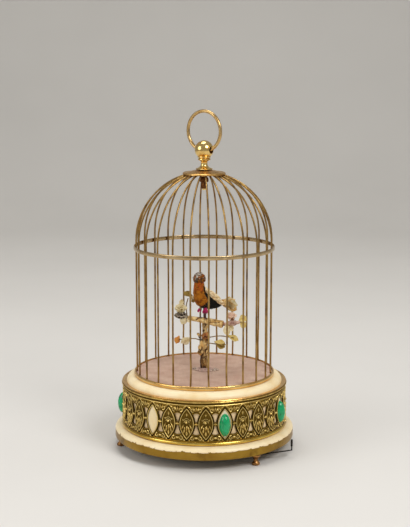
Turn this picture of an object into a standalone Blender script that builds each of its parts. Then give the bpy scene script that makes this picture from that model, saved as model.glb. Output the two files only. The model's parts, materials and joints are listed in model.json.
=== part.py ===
"""Singing bird cage: a round gilt cage with a wound movement in its base.

Metres, +Z up. The origin is the centre of the underside, on the surface it stands on.
The front is -Y. An azimuth runs from the front towards the right, which is +X.
"""

import math

import bmesh
import bpy
from mathutils import Matrix, Vector

# Running and seating gap between pieces that touch
CLEARANCE = 0.0003

# Feet
FOOT_COUNT = 3
FOOT_FIRST_AZIMUTH = 36.0
FOOT_HEIGHT = 0.0087
FOOT_RADIUS = 0.004
FOOT_SOLE_RADIUS = 0.003
FOOT_WAIST_RADIUS = 0.002

# Cage, whose wire circle sets every radius of the base
WIRE_COUNT = 24
WIRE_FIRST_AZIMUTH = 3.8
WIRE_CIRCLE_RADIUS = 0.0558
WIRE_RADIUS = 0.00075
WIRE_STRAIGHT = 0.1094
WIRE_END_RADIUS = 0.011
BASE_RING_WALL = 0.00145
BASE_RING_HEIGHT = 0.0032
HOOP_WALL = 0.00115
HOOP_HEIGHT = 0.0033
HOOP_DROP = 0.0056
CAP_RADIUS = 0.0176
CAP_THICKNESS = 0.0012
FLOOR_THICKNESS = 0.0022

# Base drum and shoulder
DRUM_WALL = 0.0014
DRUM_WALL_HEIGHT = 0.0365
DRUM_TAPER = 0.0023
SHOULDER_RUN = 0.006
SHOULDER_RISE = 0.0052
FLANGE_WIDTH = 0.0096

# Frieze band, with its pattern of pointed ovals
OVAL_COUNT = 28
OVALS_PER_SEAT = 4
SEAT_FIRST_AZIMUTH = 14.0
LOST_STONE_SEAT = 6
FRIEZE_FLANGE_WALL = 0.002
FRIEZE_FLANGE_HEIGHT = 0.0034
FRIEZE_WALL_LOW = 0.0014
FRIEZE_WALL_HIGH = 0.0018
FRIEZE_BEAD_WALL = 0.0024
FRIEZE_BEAD_HEIGHT = 0.0024
FRIEZE_HEIGHT = 0.0359
FRIEZE_STEP = 0.0006
SEAT_HALF_WIDTH = 0.005
SEAT_HALF_HEIGHT = 0.0112
SEAT_FOOT_GAP = 0.0016
SEAT_STEPS = 6
WINDOW_HALF_WIDTH = 0.0025
WINDOW_HEIGHT = 0.0062
WAIST_HALF_HEIGHT = 0.0014
STONE_HALF_WIDTH = 0.0042
STONE_HALF_HEIGHT = 0.0084
STONE_PROUD = 0.0028

# Plinth and bottom plate
PLINTH_OVERHANG = 0.0053
PLINTH_EDGE_HEIGHT = 0.0064
PLINTH_MOULDING_RISE = 0.0034
PLINTH_LEDGE = 0.0015
PLATE_LAP = 0.0017
PLATE_THICKNESS = 0.0012

# Finial, its nut and the hanging ring
STUD_RADIUS = 0.0016
STUD_TIP = 0.0012
NUT_RADIUS = 0.0032
NUT_HEIGHT = 0.0138
FLARE_RADIUS = 0.00705
FLARE_EDGE = 0.0012
FLARE_HEIGHT = 0.0032
NECK_RADIUS = 0.0028
COLLAR_RADIUS = 0.0052
COLLAR_HEIGHT = 0.0077
COLLAR_SLOPE = 0.0008
BALL_RADIUS = 0.0077
BALL_HEIGHT = 0.0158
RING_WIRE_RADIUS = 0.0014
RING_RADIUS = 0.0161
RING_TURN = 36.0
RING_HOLE_PLAY = 0.0005

# Tree
TRUNK_X = 0.0005
TRUNK_RADIUS = 0.0026
TRUNK_KNOB_RADIUS = 0.0034
ROOT_RADIUS = 0.0078
ROOT_THICKNESS = 0.0008
SPIGOT_RADIUS = 0.002
SPIGOT_DROP = 0.0016
PERCH_RISE = 0.0417
PERCH_RADIUS = 0.0025
PERCH_LEFT_REACH = 0.0239
PERCH_RIGHT_REACH = 0.0151
PERCH_SLOPE = 0.2
TWIG_RADIUS = 0.00055
LEAF_THICKNESS = 0.0007

# Grid on which twigs, leaves and blossoms are laid out
GROWTH_STEP = 0.001

# Bird, whose forward direction is the body's azimuth
BIRD_AZIMUTH = -60.0
HEAD_AZIMUTH = -25.0
BIRD_X = -0.0005
BODY_RISE = 0.0155
BODY_RADIUS = 0.0069
NECK_LIFT = 0.0317
NECK_FORWARD = 0.0039
BIRD_NECK_RADIUS = 0.0038
RUMP_BACK = 0.0145
RUMP_RADIUS = 0.0021
RUMP_DROP = 0.0019
TUFT_RADIUS = 0.0026
WING_HALF_WIDTHS = (0.0026, 0.0042, 0.0012)
POST_RADIUS = 0.0015
LEG_RADIUS = 0.00045
LEG_SPREAD = 0.0018
HEAD_RADIUS = 0.0054
HEAD_CUT = 0.0042
BEAK_LENGTH = 0.0046
BEAK_RADIUS = 0.0016
TAIL_LENGTH = 0.015
TAIL_HALF_WIDTH = 0.0052
TAIL_DROP = 0.0046
TAIL_FLATNESS = 0.62
TAIL_ROLL = 25.0
TAIL_GAP = 0.0004
ROD_RADIUS = 0.00045
ROD_PLAY = 0.0004
ROD_TOP_LIFT = 0.0075
ROD_STROKE = 0.002

# Start and stop lever
LEVER_PIVOT_AZIMUTH = 28.3
LEVER_PIVOT_INSET = 0.0024
LEVER_TAB_AZIMUTH = 61.6
LEVER_TAB_REACH = 0.0064
LEVER_WIRE_RADIUS = 0.0005
LEVER_TAB_RADIUS = 0.00085
LEVER_HUB_RADIUS = 0.0022
LEVER_HUB_HEIGHT = 0.0034
LEVER_PIN_RADIUS = 0.001
LEVER_TAB_RISE = 0.0091
LEVER_TAB_FOOT = 0.0035

# Movement: plates, barrel, cams, fly, key
MOVEMENT_CENTRE = (-0.008, 0.004)
MOVEMENT_LENGTH = 0.084
MOVEMENT_WIDTH = 0.052
MOVEMENT_LOW = 0.0042
MOVEMENT_SPACE = 0.0278
MOVEMENT_PLATE = 0.0012
PILLAR_RADIUS = 0.0022
PILLAR_INSET = 0.0045
ARBOR_RADIUS = 0.0014
PIVOT_RADIUS = 0.0008
GEAR_MODULE = 0.0009
ADDENDUM = 0.8
DEDENDUM = 1.2
TOOTH_TIP = 0.05
BARREL_TEETH = 40
CAM_PINION_TEETH = 8
FLY_WHEEL_TEETH = 32
FLY_PINION_TEETH = 8
BARREL_CENTRE = (-0.026, 0.006)
CAM_DIRECTION = -20.0
FLY_DIRECTION = 10.0
GEAR_THICKNESS = 0.0016
FLY_WHEEL_THICKNESS = 0.0011
PINION_OVERLAP = 0.0004
GEAR_PLAY = 0.0001
BARREL_LIFT = 0.0012
BARREL_HEIGHT = 0.0125
BARREL_RIM = 0.0014
CAM_RADIUS = 0.0085
CAM_STEPS = 20
CAM_LOBE = 0.0022
CAM_THICKNESS = 0.002
CAM_GAP = 0.0012
FLY_VANE_RADIUS = 0.0075
FLY_VANE_HEIGHT = 0.009
KEY_SHAFT_RADIUS = 0.0018
KEY_BOW_WIDTH = 0.022
KEY_BOW_HEIGHT = 0.0055
KEY_BOW_THICKNESS = 0.0018
KEY_BOW_DROP = 0.0008
KEY_BOW_ROUND = 0.003
KEY_HUB_RADIUS = 0.003
KEY_HUB_HEIGHT = 0.0062

# Bellows and whistle
BELLOWS_X = 0.004
BELLOWS_INSET = 0.026
BELLOWS_LENGTH = 0.038
BELLOWS_WIDTH = 0.02
BELLOWS_BOARD = 0.0018
BELLOWS_OPEN_HEIGHT = 0.009
BELLOWS_HINGE_HEIGHT = 0.0014
BELLOWS_FOLDS = 4
BELLOWS_FOLD_DEPTH = 0.0015
WHISTLE_CENTRE = (-0.008, 0.02)
WHISTLE_LENGTH = 0.03
WHISTLE_RADIUS = 0.0034
WHISTLE_WALL = 0.0007
PISTON_LENGTH = 0.008
PISTON_ROD_RADIUS = 0.0007
PISTON_ROD_LENGTH = 0.016
PISTON_DEPTH = 0.016

# Faces round each turned or drawn form
BASE_SEGMENTS = 48
CAGE_SEGMENTS = 40
CAP_SEGMENTS = 24
FINIAL_SEGMENTS = 16
PIN_SEGMENTS = 12
BORE_SEGMENTS = 8
DOME_STEPS = 5
MOULDING_STEPS = 3
RING_SEGMENTS = 32
RING_SIDES = 6

# Heights that follow from the sizes above
PLINTH_BOTTOM = FOOT_HEIGHT + CLEARANCE
PLATE_BOTTOM = PLINTH_BOTTOM + CLEARANCE
PLATE_TOP = PLATE_BOTTOM + PLATE_THICKNESS
PLINTH_TOP = PLINTH_BOTTOM + PLINTH_EDGE_HEIGHT + PLINTH_MOULDING_RISE
DRUM_BOTTOM = PLINTH_TOP + CLEARANCE
SHOULDER_BOTTOM = DRUM_BOTTOM + DRUM_WALL_HEIGHT
SHOULDER_TOP = SHOULDER_BOTTOM + SHOULDER_RISE
CAGE_BOTTOM = SHOULDER_TOP + CLEARANCE
FLOOR_TOP = CAGE_BOTTOM + FLOOR_THICKNESS
WIRE_BOTTOM = FLOOR_TOP + CLEARANCE
DOME_CENTRE = WIRE_BOTTOM + WIRE_STRAIGHT

# Radii that follow from the wire circle
CAGE_INNER_RADIUS = WIRE_CIRCLE_RADIUS + WIRE_RADIUS + CLEARANCE
BASE_RING_RADIUS = CAGE_INNER_RADIUS + BASE_RING_WALL
SHOULDER_TOP_RADIUS = BASE_RING_RADIUS + CLEARANCE
DRUM_TOP_RADIUS = SHOULDER_TOP_RADIUS + SHOULDER_RUN
DRUM_FOOT_RADIUS = DRUM_TOP_RADIUS + DRUM_TAPER
FRIEZE_RADIUS = DRUM_FOOT_RADIUS + CLEARANCE + FRIEZE_FLANGE_WALL
FRIEZE_MIDDLE = FRIEZE_FLANGE_HEIGHT + FRIEZE_STEP + SEAT_FOOT_GAP + SEAT_HALF_HEIGHT
PLINTH_RADIUS = FRIEZE_RADIUS + PLINTH_OVERHANG
PLINTH_BORE_RADIUS = DRUM_FOOT_RADIUS - DRUM_WALL - PLINTH_LEDGE
PLATE_RADIUS = PLINTH_BORE_RADIUS + PLATE_LAP
FOOT_CIRCLE_RADIUS = (PLATE_RADIUS + CLEARANCE + PLINTH_RADIUS) / 2

# Dome of the cap, which lies on the wires
CAP_UNDER_RADIUS = CAGE_INNER_RADIUS
CAP_TOP_RADIUS = CAP_UNDER_RADIUS + CAP_THICKNESS
FINIAL_BOTTOM = DOME_CENTRE + CAP_TOP_RADIUS + CLEARANCE
BALL_CENTRE = FINIAL_BOTTOM + BALL_HEIGHT
RING_SAG = RING_RADIUS - math.sqrt(RING_RADIUS**2 - BALL_RADIUS**2)
RING_CENTRE = BALL_CENTRE - RING_SAG / 2 + RING_RADIUS
RING_HOLE_RADIUS = RING_SAG / 2 + RING_WIRE_RADIUS + RING_HOLE_PLAY

# Places of the tree and the bird
TRUNK_BOTTOM = FLOOR_TOP + CLEARANCE
PERCH_HEIGHT = TRUNK_BOTTOM + PERCH_RISE
ROD_BORE_RADIUS = ROD_RADIUS + ROD_PLAY
BODY_HEIGHT = PERCH_HEIGHT + BODY_RISE
NECK_TOP = PERCH_HEIGHT + NECK_LIFT

# Places of the movement
MOVEMENT_BOTTOM = PLATE_TOP + MOVEMENT_LOW
MOVEMENT_TOP = MOVEMENT_BOTTOM + MOVEMENT_PLATE + MOVEMENT_SPACE
TRAIN_BOTTOM = MOVEMENT_BOTTOM + MOVEMENT_PLATE + BARREL_LIFT
BARREL_TOP = TRAIN_BOTTOM + BARREL_HEIGHT
FLY_WHEEL_LOW = BARREL_TOP + CAM_GAP + 2 * (CAM_THICKNESS + CAM_GAP)


def azimuth_direction(azimuth):
    """Unit vector in the ground plane for an azimuth in degrees."""
    turn = math.radians(azimuth)
    return Vector((math.sin(turn), -math.cos(turn), 0.0))


def lever_spot(azimuth, radius):
    """A spot in the ground plane, as (x, y), for the lever's pivot or tab."""
    return tuple((azimuth_direction(azimuth) * radius).xy)


def clear_scene():
    for old in list(bpy.data.objects):
        bpy.data.objects.remove(old, do_unlink=True)


def finish_material(name, colour, roughness, metallic):
    """A Principled material in one colour."""
    material = bpy.data.materials.new(name)
    material.use_nodes = True
    shader = material.node_tree.nodes["Principled BSDF"]
    shader.inputs["Base Color"].default_value = (*colour, 1.0)
    shader.inputs["Roughness"].default_value = roughness
    shader.inputs["Metallic"].default_value = metallic
    material.diffuse_color = (*colour, 1.0)
    return material


def add_mesh(name, bm, material, location=(0.0, 0.0, 0.0), parent=None):
    """An object from a bmesh that was modelled round its own origin."""
    bmesh.ops.recalc_face_normals(bm, faces=bm.faces)
    mesh = bpy.data.meshes.new(name)
    bm.to_mesh(mesh)
    bm.free()
    return add_object(name, mesh, material, location, parent)


def add_object(name, mesh, material, location=(0.0, 0.0, 0.0), parent=None):
    mesh.materials.append(material)
    mesh.shade_smooth()
    mesh.set_sharp_from_angle(angle=math.radians(35))
    thing = bpy.data.objects.new(name, mesh)
    thing.location = location
    thing.parent = parent
    bpy.context.collection.objects.link(thing)
    return thing


def turned(profile, segments, first_azimuth=0.0):
    """A turned form. The profile is (radius, height) points, closed unless its ends lie on the axis."""
    bm = bmesh.new()
    start = azimuth_direction(first_azimuth)
    rim = [bm.verts.new(start * radius + Vector((0, 0, height))) for radius, height in profile]
    edges = [bm.edges.new(pair) for pair in zip(rim, rim[1:])]
    if profile[0][0] > 0 or profile[-1][0] > 0:
        edges.append(bm.edges.new((rim[-1], rim[0])))
    bmesh.ops.spin(
        bm,
        geom=rim + edges,
        cent=(0, 0, 0),
        axis=(0, 0, 1),
        angle=math.tau,
        steps=segments,
        use_merge=True,
    )
    bmesh.ops.remove_doubles(bm, verts=bm.verts, dist=1e-7)
    return bm


def circle_radius(radius, segments):
    """Corner radius of a polygon whose flats lie at the given radius."""
    return radius / math.cos(math.pi / segments)


def arc(centre, radius, from_angle, to_angle, steps):
    """Points of an arc in the (radius, height) plane, with angles in degrees from the radius axis."""
    points = []
    for step in range(steps + 1):
        angle = math.radians(from_angle + (to_angle - from_angle) * step / steps)
        points.append((centre[0] + radius * math.cos(angle), centre[1] + radius * math.sin(angle)))
    return points


def quarter_oval(outer, top, steps):
    """A convex moulding from the outer low point up to the top point, upright first."""
    points = []
    for step in range(steps + 1):
        angle = math.pi / 2 * step / steps
        radius = top[0] + (outer[0] - top[0]) * math.cos(angle)
        points.append((radius, outer[1] + (top[1] - outer[1]) * math.sin(angle)))
    return points


def prism(outline, low, high):
    """A flat form: an outline of (x, y) points drawn up from one height to another."""
    bm = bmesh.new()
    corners = [bm.verts.new((x, y, low)) for x, y in outline]
    face = bm.faces.new(corners)
    raised = bmesh.ops.extrude_face_region(bm, geom=[face])
    moved = [item for item in raised["geom"] if isinstance(item, bmesh.types.BMVert)]
    bmesh.ops.translate(bm, verts=moved, vec=(0, 0, high - low))
    return bm


def swept(path, radii, sides, flatness=1.0):
    """A closed tube along a path, whose radius may change and whose section may be flattened."""
    bm = bmesh.new()
    rings = []
    side = None
    for index, point in enumerate(path):
        ahead = Vector(path[min(index + 1, len(path) - 1)])
        tangent = (ahead - Vector(path[max(index - 1, 0)])).normalized()
        if side is None:
            side = tangent.orthogonal() if abs(tangent.y) > 0.9 else tangent.cross((0, 1, 0))
        side = (side - tangent * side.dot(tangent)).normalized()
        other = tangent.cross(side)
        ring = []
        for corner in range(sides):
            angle = math.tau * corner / sides
            out = side * math.cos(angle) + other * (math.sin(angle) * flatness)
            ring.append(bm.verts.new(Vector(point) + out * radii[index]))
        rings.append(ring)
    for low, high in zip(rings, rings[1:]):
        for corner in range(sides):
            following = (corner + 1) % sides
            bm.faces.new((low[corner], low[following], high[following], high[corner]))
    bm.faces.new(reversed(rings[0]))
    bm.faces.new(rings[-1])
    return bm


def blob(centre, half_sizes, turn=None, around=8, rings=5):
    """An egg-shaped lump with the given half sizes, turned by a matrix about its centre."""
    bm = bmesh.new()
    place = Matrix.Translation(centre) @ (turn or Matrix()) @ Matrix.Diagonal((*half_sizes, 1.0))
    bmesh.ops.create_uvsphere(bm, u_segments=around, v_segments=rings, radius=1.0, matrix=place)
    return bm


def toothed_outline(teeth, module, first_turn=0.0):
    """Outline of a spur gear: two points on each tooth's tip and one in each gap."""
    pitch = teeth * module / 2
    points = []
    for tooth in range(teeth):
        for share, height in ((-TOOTH_TIP, ADDENDUM), (TOOTH_TIP, ADDENDUM), (0.5, -DEDENDUM)):
            angle = math.radians(first_turn) + math.tau * (tooth + share) / teeth
            radius = pitch + height * module
            points.append((radius * math.cos(angle), radius * math.sin(angle)))
    return points


def scratch_object(bm):
    bmesh.ops.recalc_face_normals(bm, faces=bm.faces)
    mesh = bpy.data.meshes.new("scratch")
    bm.to_mesh(mesh)
    bm.free()
    thing = bpy.data.objects.new("scratch", mesh)
    bpy.context.collection.objects.link(thing)
    return thing


def combined(first, joined=(), cut=()):
    """One closed mesh: the first form with some joined to it, and then some cut out of it."""
    base = scratch_object(first)
    helpers = []
    for operation, forms in (("UNION", joined), ("DIFFERENCE", cut)):
        for form in forms:
            helper = scratch_object(form)
            boolean = base.modifiers.new(operation.title(), "BOOLEAN")
            boolean.operation = operation
            boolean.object = helper
            helpers.append(helper)
    graph = bpy.context.evaluated_depsgraph_get()
    mesh = bpy.data.meshes.new_from_object(base.evaluated_get(graph))
    for thing in [base, *helpers]:
        bpy.data.objects.remove(thing, do_unlink=True)
    return mesh


def on_spot(bm, spot, height=0.0):
    """Moves a form that was modelled on the axis to a spot in the ground plane."""
    bmesh.ops.translate(bm, verts=bm.verts, vec=(spot[0], spot[1], height))
    return bm


def rod(radius, low, high, segments, spot=(0.0, 0.0)):
    """An upright cylinder on a spot in the ground plane."""
    return on_spot(turned([(0, low), (radius, low), (radius, high), (0, high)], segments), spot)


def drum_radius_at(height):
    """Outer radius of the drum's wall at a height."""
    share = (height - DRUM_BOTTOM) / DRUM_WALL_HEIGHT
    return DRUM_FOOT_RADIUS + (DRUM_TOP_RADIUS - DRUM_FOOT_RADIUS) * share


def build_feet(gilt):
    profile = [
        (0.0, 0.0),
        (FOOT_SOLE_RADIUS, 0.0),
        (FOOT_RADIUS * 0.9, FOOT_HEIGHT * 0.14),
        (FOOT_RADIUS * 0.8, FOOT_HEIGHT * 0.3),
        (FOOT_WAIST_RADIUS, FOOT_HEIGHT * 0.48),
        (FOOT_WAIST_RADIUS, FOOT_HEIGHT * 0.62),
        (FOOT_RADIUS * 0.72, FOOT_HEIGHT * 0.8),
        (FOOT_RADIUS, FOOT_HEIGHT * 0.88),
        (FOOT_RADIUS, FOOT_HEIGHT),
        (0.0, FOOT_HEIGHT),
    ]
    for number in range(FOOT_COUNT):
        azimuth = FOOT_FIRST_AZIMUTH + 360 * number / FOOT_COUNT
        spot = azimuth_direction(azimuth) * FOOT_CIRCLE_RADIUS
        add_mesh(f"foot_{number + 1}", turned(profile, 10), gilt, spot)


def build_plinth(cream):
    recess = circle_radius(PLATE_RADIUS + CLEARANCE, BASE_SEGMENTS)
    ledge = PLATE_TOP + CLEARANCE
    edge_top = PLINTH_BOTTOM + PLINTH_EDGE_HEIGHT
    profile = [
        (recess, PLINTH_BOTTOM),
        (PLINTH_RADIUS, PLINTH_BOTTOM),
        *quarter_oval((PLINTH_RADIUS, edge_top), (FRIEZE_RADIUS, PLINTH_TOP), MOULDING_STEPS),
        (PLINTH_BORE_RADIUS, PLINTH_TOP),
        (PLINTH_BORE_RADIUS, ledge),
        (recess, ledge),
    ]
    add_mesh("plinth", turned(profile, BASE_SEGMENTS), cream)


def build_bottom_plate(steel):
    """A disc with the lever's pivot pin under it and a hole for the key's shaft."""
    plate = rod(PLATE_RADIUS, PLATE_BOTTOM, PLATE_TOP, CAGE_SEGMENTS)
    pin_bottom = PLATE_BOTTOM - CLEARANCE - LEVER_HUB_HEIGHT
    pivot = lever_spot(LEVER_PIVOT_AZIMUTH, PLATE_RADIUS - LEVER_PIVOT_INSET)
    pin = rod(LEVER_PIN_RADIUS, pin_bottom, PLATE_BOTTOM + PLATE_THICKNESS / 2, PIN_SEGMENTS, pivot)
    low = PLATE_BOTTOM - PLATE_THICKNESS
    high = PLATE_TOP + PLATE_THICKNESS
    hole = rod(KEY_SHAFT_RADIUS + CLEARANCE, low, high, PIN_SEGMENTS, BARREL_CENTRE)
    add_object("bottom_plate", combined(plate, joined=[pin], cut=[hole]), steel)


def build_drum(cream):
    """A spun shell, open below, with its shoulder drawn in to the cage's flange."""
    shoulder_top = (SHOULDER_TOP_RADIUS, SHOULDER_TOP)
    flange_radius = SHOULDER_TOP_RADIUS - FLANGE_WIDTH
    profile = [
        (DRUM_FOOT_RADIUS - DRUM_WALL, DRUM_BOTTOM),
        (DRUM_FOOT_RADIUS, DRUM_BOTTOM),
        *quarter_oval((DRUM_TOP_RADIUS, SHOULDER_BOTTOM), shoulder_top, MOULDING_STEPS),
        (flange_radius, SHOULDER_TOP),
        (flange_radius, SHOULDER_TOP - DRUM_WALL),
        (SHOULDER_TOP_RADIUS, SHOULDER_TOP - DRUM_WALL),
        (DRUM_TOP_RADIUS - DRUM_WALL, SHOULDER_BOTTOM - DRUM_WALL / 2),
    ]
    add_mesh("base_drum", turned(profile, BASE_SEGMENTS, SEAT_FIRST_AZIMUTH), cream)


def frieze_outer_radius(height):
    """Outer radius of the frieze band at a height above its lower edge."""
    wall = drum_radius_at(DRUM_BOTTOM + height) + CLEARANCE
    bead_low = FRIEZE_HEIGHT - FRIEZE_BEAD_HEIGHT
    if height <= FRIEZE_FLANGE_HEIGHT:
        return FRIEZE_RADIUS
    if height >= bead_low + FRIEZE_STEP / 2:
        return wall + FRIEZE_BEAD_WALL
    share = (height - FRIEZE_FLANGE_HEIGHT) / (bead_low - FRIEZE_FLANGE_HEIGHT)
    return wall + FRIEZE_WALL_LOW + (FRIEZE_WALL_HIGH - FRIEZE_WALL_LOW) * share


def frieze_half_cell(bm, half_pitch, is_seat):
    """Flat faces from the middle of an oval to the middle of a window, x in metres of arc."""
    low = FRIEZE_FLANGE_HEIGHT + FRIEZE_STEP
    high = FRIEZE_HEIGHT - FRIEZE_BEAD_HEIGHT
    window_low = FRIEZE_MIDDLE - WAIST_HALF_HEIGHT - WINDOW_HEIGHT
    notch = [
        (half_pitch, window_low),
        (half_pitch - WINDOW_HALF_WIDTH, window_low),
        (half_pitch, FRIEZE_MIDDLE - WAIST_HALF_HEIGHT),
    ]
    outline = [(0.0, low), (half_pitch, low), *notch]
    outline += [(x, 2 * FRIEZE_MIDDLE - height) for x, height in reversed(notch)]
    outline += [(half_pitch, high), (0.0, high)]
    if is_seat:
        for step in range(SEAT_STEPS + 1):
            share = 1 - 2 * step / SEAT_STEPS
            outline.append((SEAT_HALF_WIDTH * (1 - share**2), FRIEZE_MIDDLE + SEAT_HALF_HEIGHT * share))
    bm.faces.new([bm.verts.new((x, 0.0, height)) for x, height in outline])
    levels = (0.0, FRIEZE_FLANGE_HEIGHT, low, high, high + FRIEZE_STEP, FRIEZE_HEIGHT)
    for bottom, top in zip(levels, levels[1:]):
        if bottom != low:
            corners = ((0.0, bottom), (half_pitch, bottom), (half_pitch, top), (0.0, top))
            bm.faces.new([bm.verts.new((x, 0.0, height)) for x, height in corners])


def build_frieze(brass):
    """The pierced band: half cells drawn flat, mirrored and repeated, then bent and thickened."""
    half_pitch = math.pi * FRIEZE_RADIUS / OVAL_COUNT
    around = 2 * half_pitch * OVAL_COUNT
    bm = bmesh.new()
    for oval in range(OVAL_COUNT):
        for side in (-1, 1):
            cell = bmesh.new()
            frieze_half_cell(cell, half_pitch, oval % OVALS_PER_SEAT == 0)
            bmesh.ops.scale(cell, verts=cell.verts, vec=(side, 1, 1))
            bmesh.ops.translate(cell, verts=cell.verts, vec=(2 * half_pitch * oval, 0, 0))
            drawn = bpy.data.meshes.new("scratch")
            cell.to_mesh(drawn)
            cell.free()
            bm.from_mesh(drawn)
            bpy.data.meshes.remove(drawn)
    bend_frieze(bm, around)
    bmesh.ops.remove_doubles(bm, verts=bm.verts, dist=1e-6)
    inner_skin = bmesh.ops.extrude_face_region(bm, geom=bm.faces[:], use_keep_orig=True)["geom"]
    wall_inside([item for item in inner_skin if isinstance(item, bmesh.types.BMVert)])
    inner_faces = [item for item in inner_skin if isinstance(item, bmesh.types.BMFace)]
    inner_edges = list({edge for face in inner_faces for edge in face.edges})
    inner_verts = list({vert for face in inner_faces for vert in face.verts})
    bmesh.ops.dissolve_limit(bm, angle_limit=math.radians(0.5), verts=inner_verts, edges=inner_edges)
    bmesh.ops.triangulate(bm, faces=bm.faces)
    add_mesh("frieze_band", bm, brass)


def bend_frieze(bm, around):
    """Wraps the flat drawing round the axis at the band's outer radius."""
    for vert in bm.verts:
        height = vert.co.z
        azimuth = SEAT_FIRST_AZIMUTH + 360 * vert.co.x / around
        vert.co = azimuth_direction(azimuth) * frieze_outer_radius(height)
        vert.co.z = DRUM_BOTTOM + height


def wall_inside(verts):
    """Draws the inner skin in to the drum's wall."""
    for vert in verts:
        outward = Vector((vert.co.x, vert.co.y, 0.0)).normalized()
        inner = outward * (drum_radius_at(vert.co.z) + CLEARANCE)
        vert.co = Vector((inner.x, inner.y, vert.co.z))


def build_cabochons(malachite):
    back = drum_radius_at(DRUM_BOTTOM + FRIEZE_MIDDLE) + CLEARANCE
    front = frieze_outer_radius(FRIEZE_MIDDLE) + STONE_PROUD
    wall_lean = math.atan(DRUM_TAPER / DRUM_WALL_HEIGHT)
    seats = OVAL_COUNT // OVALS_PER_SEAT
    number = 0
    for seat in range(seats):
        if seat == LOST_STONE_SEAT:
            continue
        number += 1
        bm = turned([(1.0, 0.0), (1.0, 0.42), (0.82, 0.74), (0.48, 0.95), (0.0, 1.0), (0.0, 0.0)], 12)
        stand = Matrix(((0, 0, 1), (1, 0, 0), (0, 1, 0))).to_4x4()
        bmesh.ops.scale(bm, verts=bm.verts, vec=(STONE_HALF_WIDTH, STONE_HALF_HEIGHT, front - back))
        bmesh.ops.transform(bm, matrix=stand, verts=bm.verts)
        bmesh.ops.rotate(bm, verts=bm.verts, matrix=Matrix.Rotation(-wall_lean, 3, "Y"))
        bmesh.ops.translate(bm, verts=bm.verts, vec=(back, 0, 0))
        azimuth = SEAT_FIRST_AZIMUTH + 360 * seat / seats
        bmesh.ops.rotate(bm, verts=bm.verts, matrix=Matrix.Rotation(math.radians(azimuth - 90), 3, "Z"))
        add_mesh(f"cabochon_{number}", bm, malachite, (0, 0, DRUM_BOTTOM + FRIEZE_MIDDLE))


def build_floor(paper):
    """A disc inside the base ring, with a hole for the tree's spigot."""
    disc = rod(CAGE_INNER_RADIUS - CLEARANCE, CAGE_BOTTOM, FLOOR_TOP, CAGE_SEGMENTS)
    low = CAGE_BOTTOM - FLOOR_THICKNESS
    high = FLOOR_TOP + FLOOR_THICKNESS
    hole = rod(SPIGOT_RADIUS + CLEARANCE, low, high, PIN_SEGMENTS, (TRUNK_X, 0))
    add_object("cage_floor", combined(disc, cut=[hole]), paper)


def build_cage(gilt):
    inner = circle_radius(CAGE_INNER_RADIUS, CAGE_SEGMENTS)
    base_ring = [
        (inner, CAGE_BOTTOM),
        (BASE_RING_RADIUS, CAGE_BOTTOM),
        *quarter_oval(
            (BASE_RING_RADIUS, CAGE_BOTTOM + BASE_RING_HEIGHT * 0.6),
            (inner, CAGE_BOTTOM + BASE_RING_HEIGHT),
            2,
        ),
    ]
    add_mesh("cage_base_ring", turned(base_ring, CAGE_SEGMENTS), gilt)
    middle = DOME_CENTRE - HOOP_DROP
    hoop = [
        (inner, middle - HOOP_HEIGHT / 2),
        (inner + HOOP_WALL * 0.7, middle - HOOP_HEIGHT / 2),
        (inner + HOOP_WALL, middle - HOOP_HEIGHT * 0.25),
        (inner + HOOP_WALL, middle + HOOP_HEIGHT * 0.25),
        (inner + HOOP_WALL * 0.7, middle + HOOP_HEIGHT / 2),
        (inner, middle + HOOP_HEIGHT / 2),
    ]
    add_mesh("cage_hoop", turned(hoop, CAGE_SEGMENTS), gilt)
    hole = STUD_RADIUS + CLEARANCE
    add_mesh("cage_cap", turned(cap_profile(hole), CAP_SEGMENTS), gilt)
    for number in range(WIRE_COUNT):
        azimuth = WIRE_FIRST_AZIMUTH + 360 * number / WIRE_COUNT
        add_wire(f"wire_{number + 1:02d}", azimuth, gilt)


def cap_profile(hole):
    """Section of the cap: two concentric arcs about the dome's centre."""
    centre = (0.0, DOME_CENTRE)
    points = []
    for radius, ends in ((CAP_UNDER_RADIUS, (hole, CAP_RADIUS)), (CAP_TOP_RADIUS, (CAP_RADIUS, hole))):
        first = math.degrees(math.acos(ends[0] / radius))
        last = math.degrees(math.acos(ends[1] / radius))
        points += arc(centre, radius, first, last, 3)
    return points


def add_wire(name, azimuth, gilt):
    """One wire: upright to the dome's springing, then along the dome to its end under the cap."""
    outward = azimuth_direction(azimuth)
    last = math.degrees(math.acos(WIRE_END_RADIUS / WIRE_CIRCLE_RADIUS))
    section = [(WIRE_CIRCLE_RADIUS, WIRE_BOTTOM)]
    section += arc((0.0, DOME_CENTRE), WIRE_CIRCLE_RADIUS, 0.0, last, DOME_STEPS)
    curve = bpy.data.curves.new(name, "CURVE")
    curve.dimensions = "3D"
    curve.bevel_depth = WIRE_RADIUS
    curve.bevel_resolution = 1
    curve.use_fill_caps = True
    spline = curve.splines.new("POLY")
    spline.points.add(len(section) - 1)
    for point, (radius, height) in zip(spline.points, section):
        point.co = (*(outward * radius).xy, height, 1.0)
    curve.materials.append(gilt)
    thing = bpy.data.objects.new(name, curve)
    bpy.context.collection.objects.link(thing)


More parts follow.
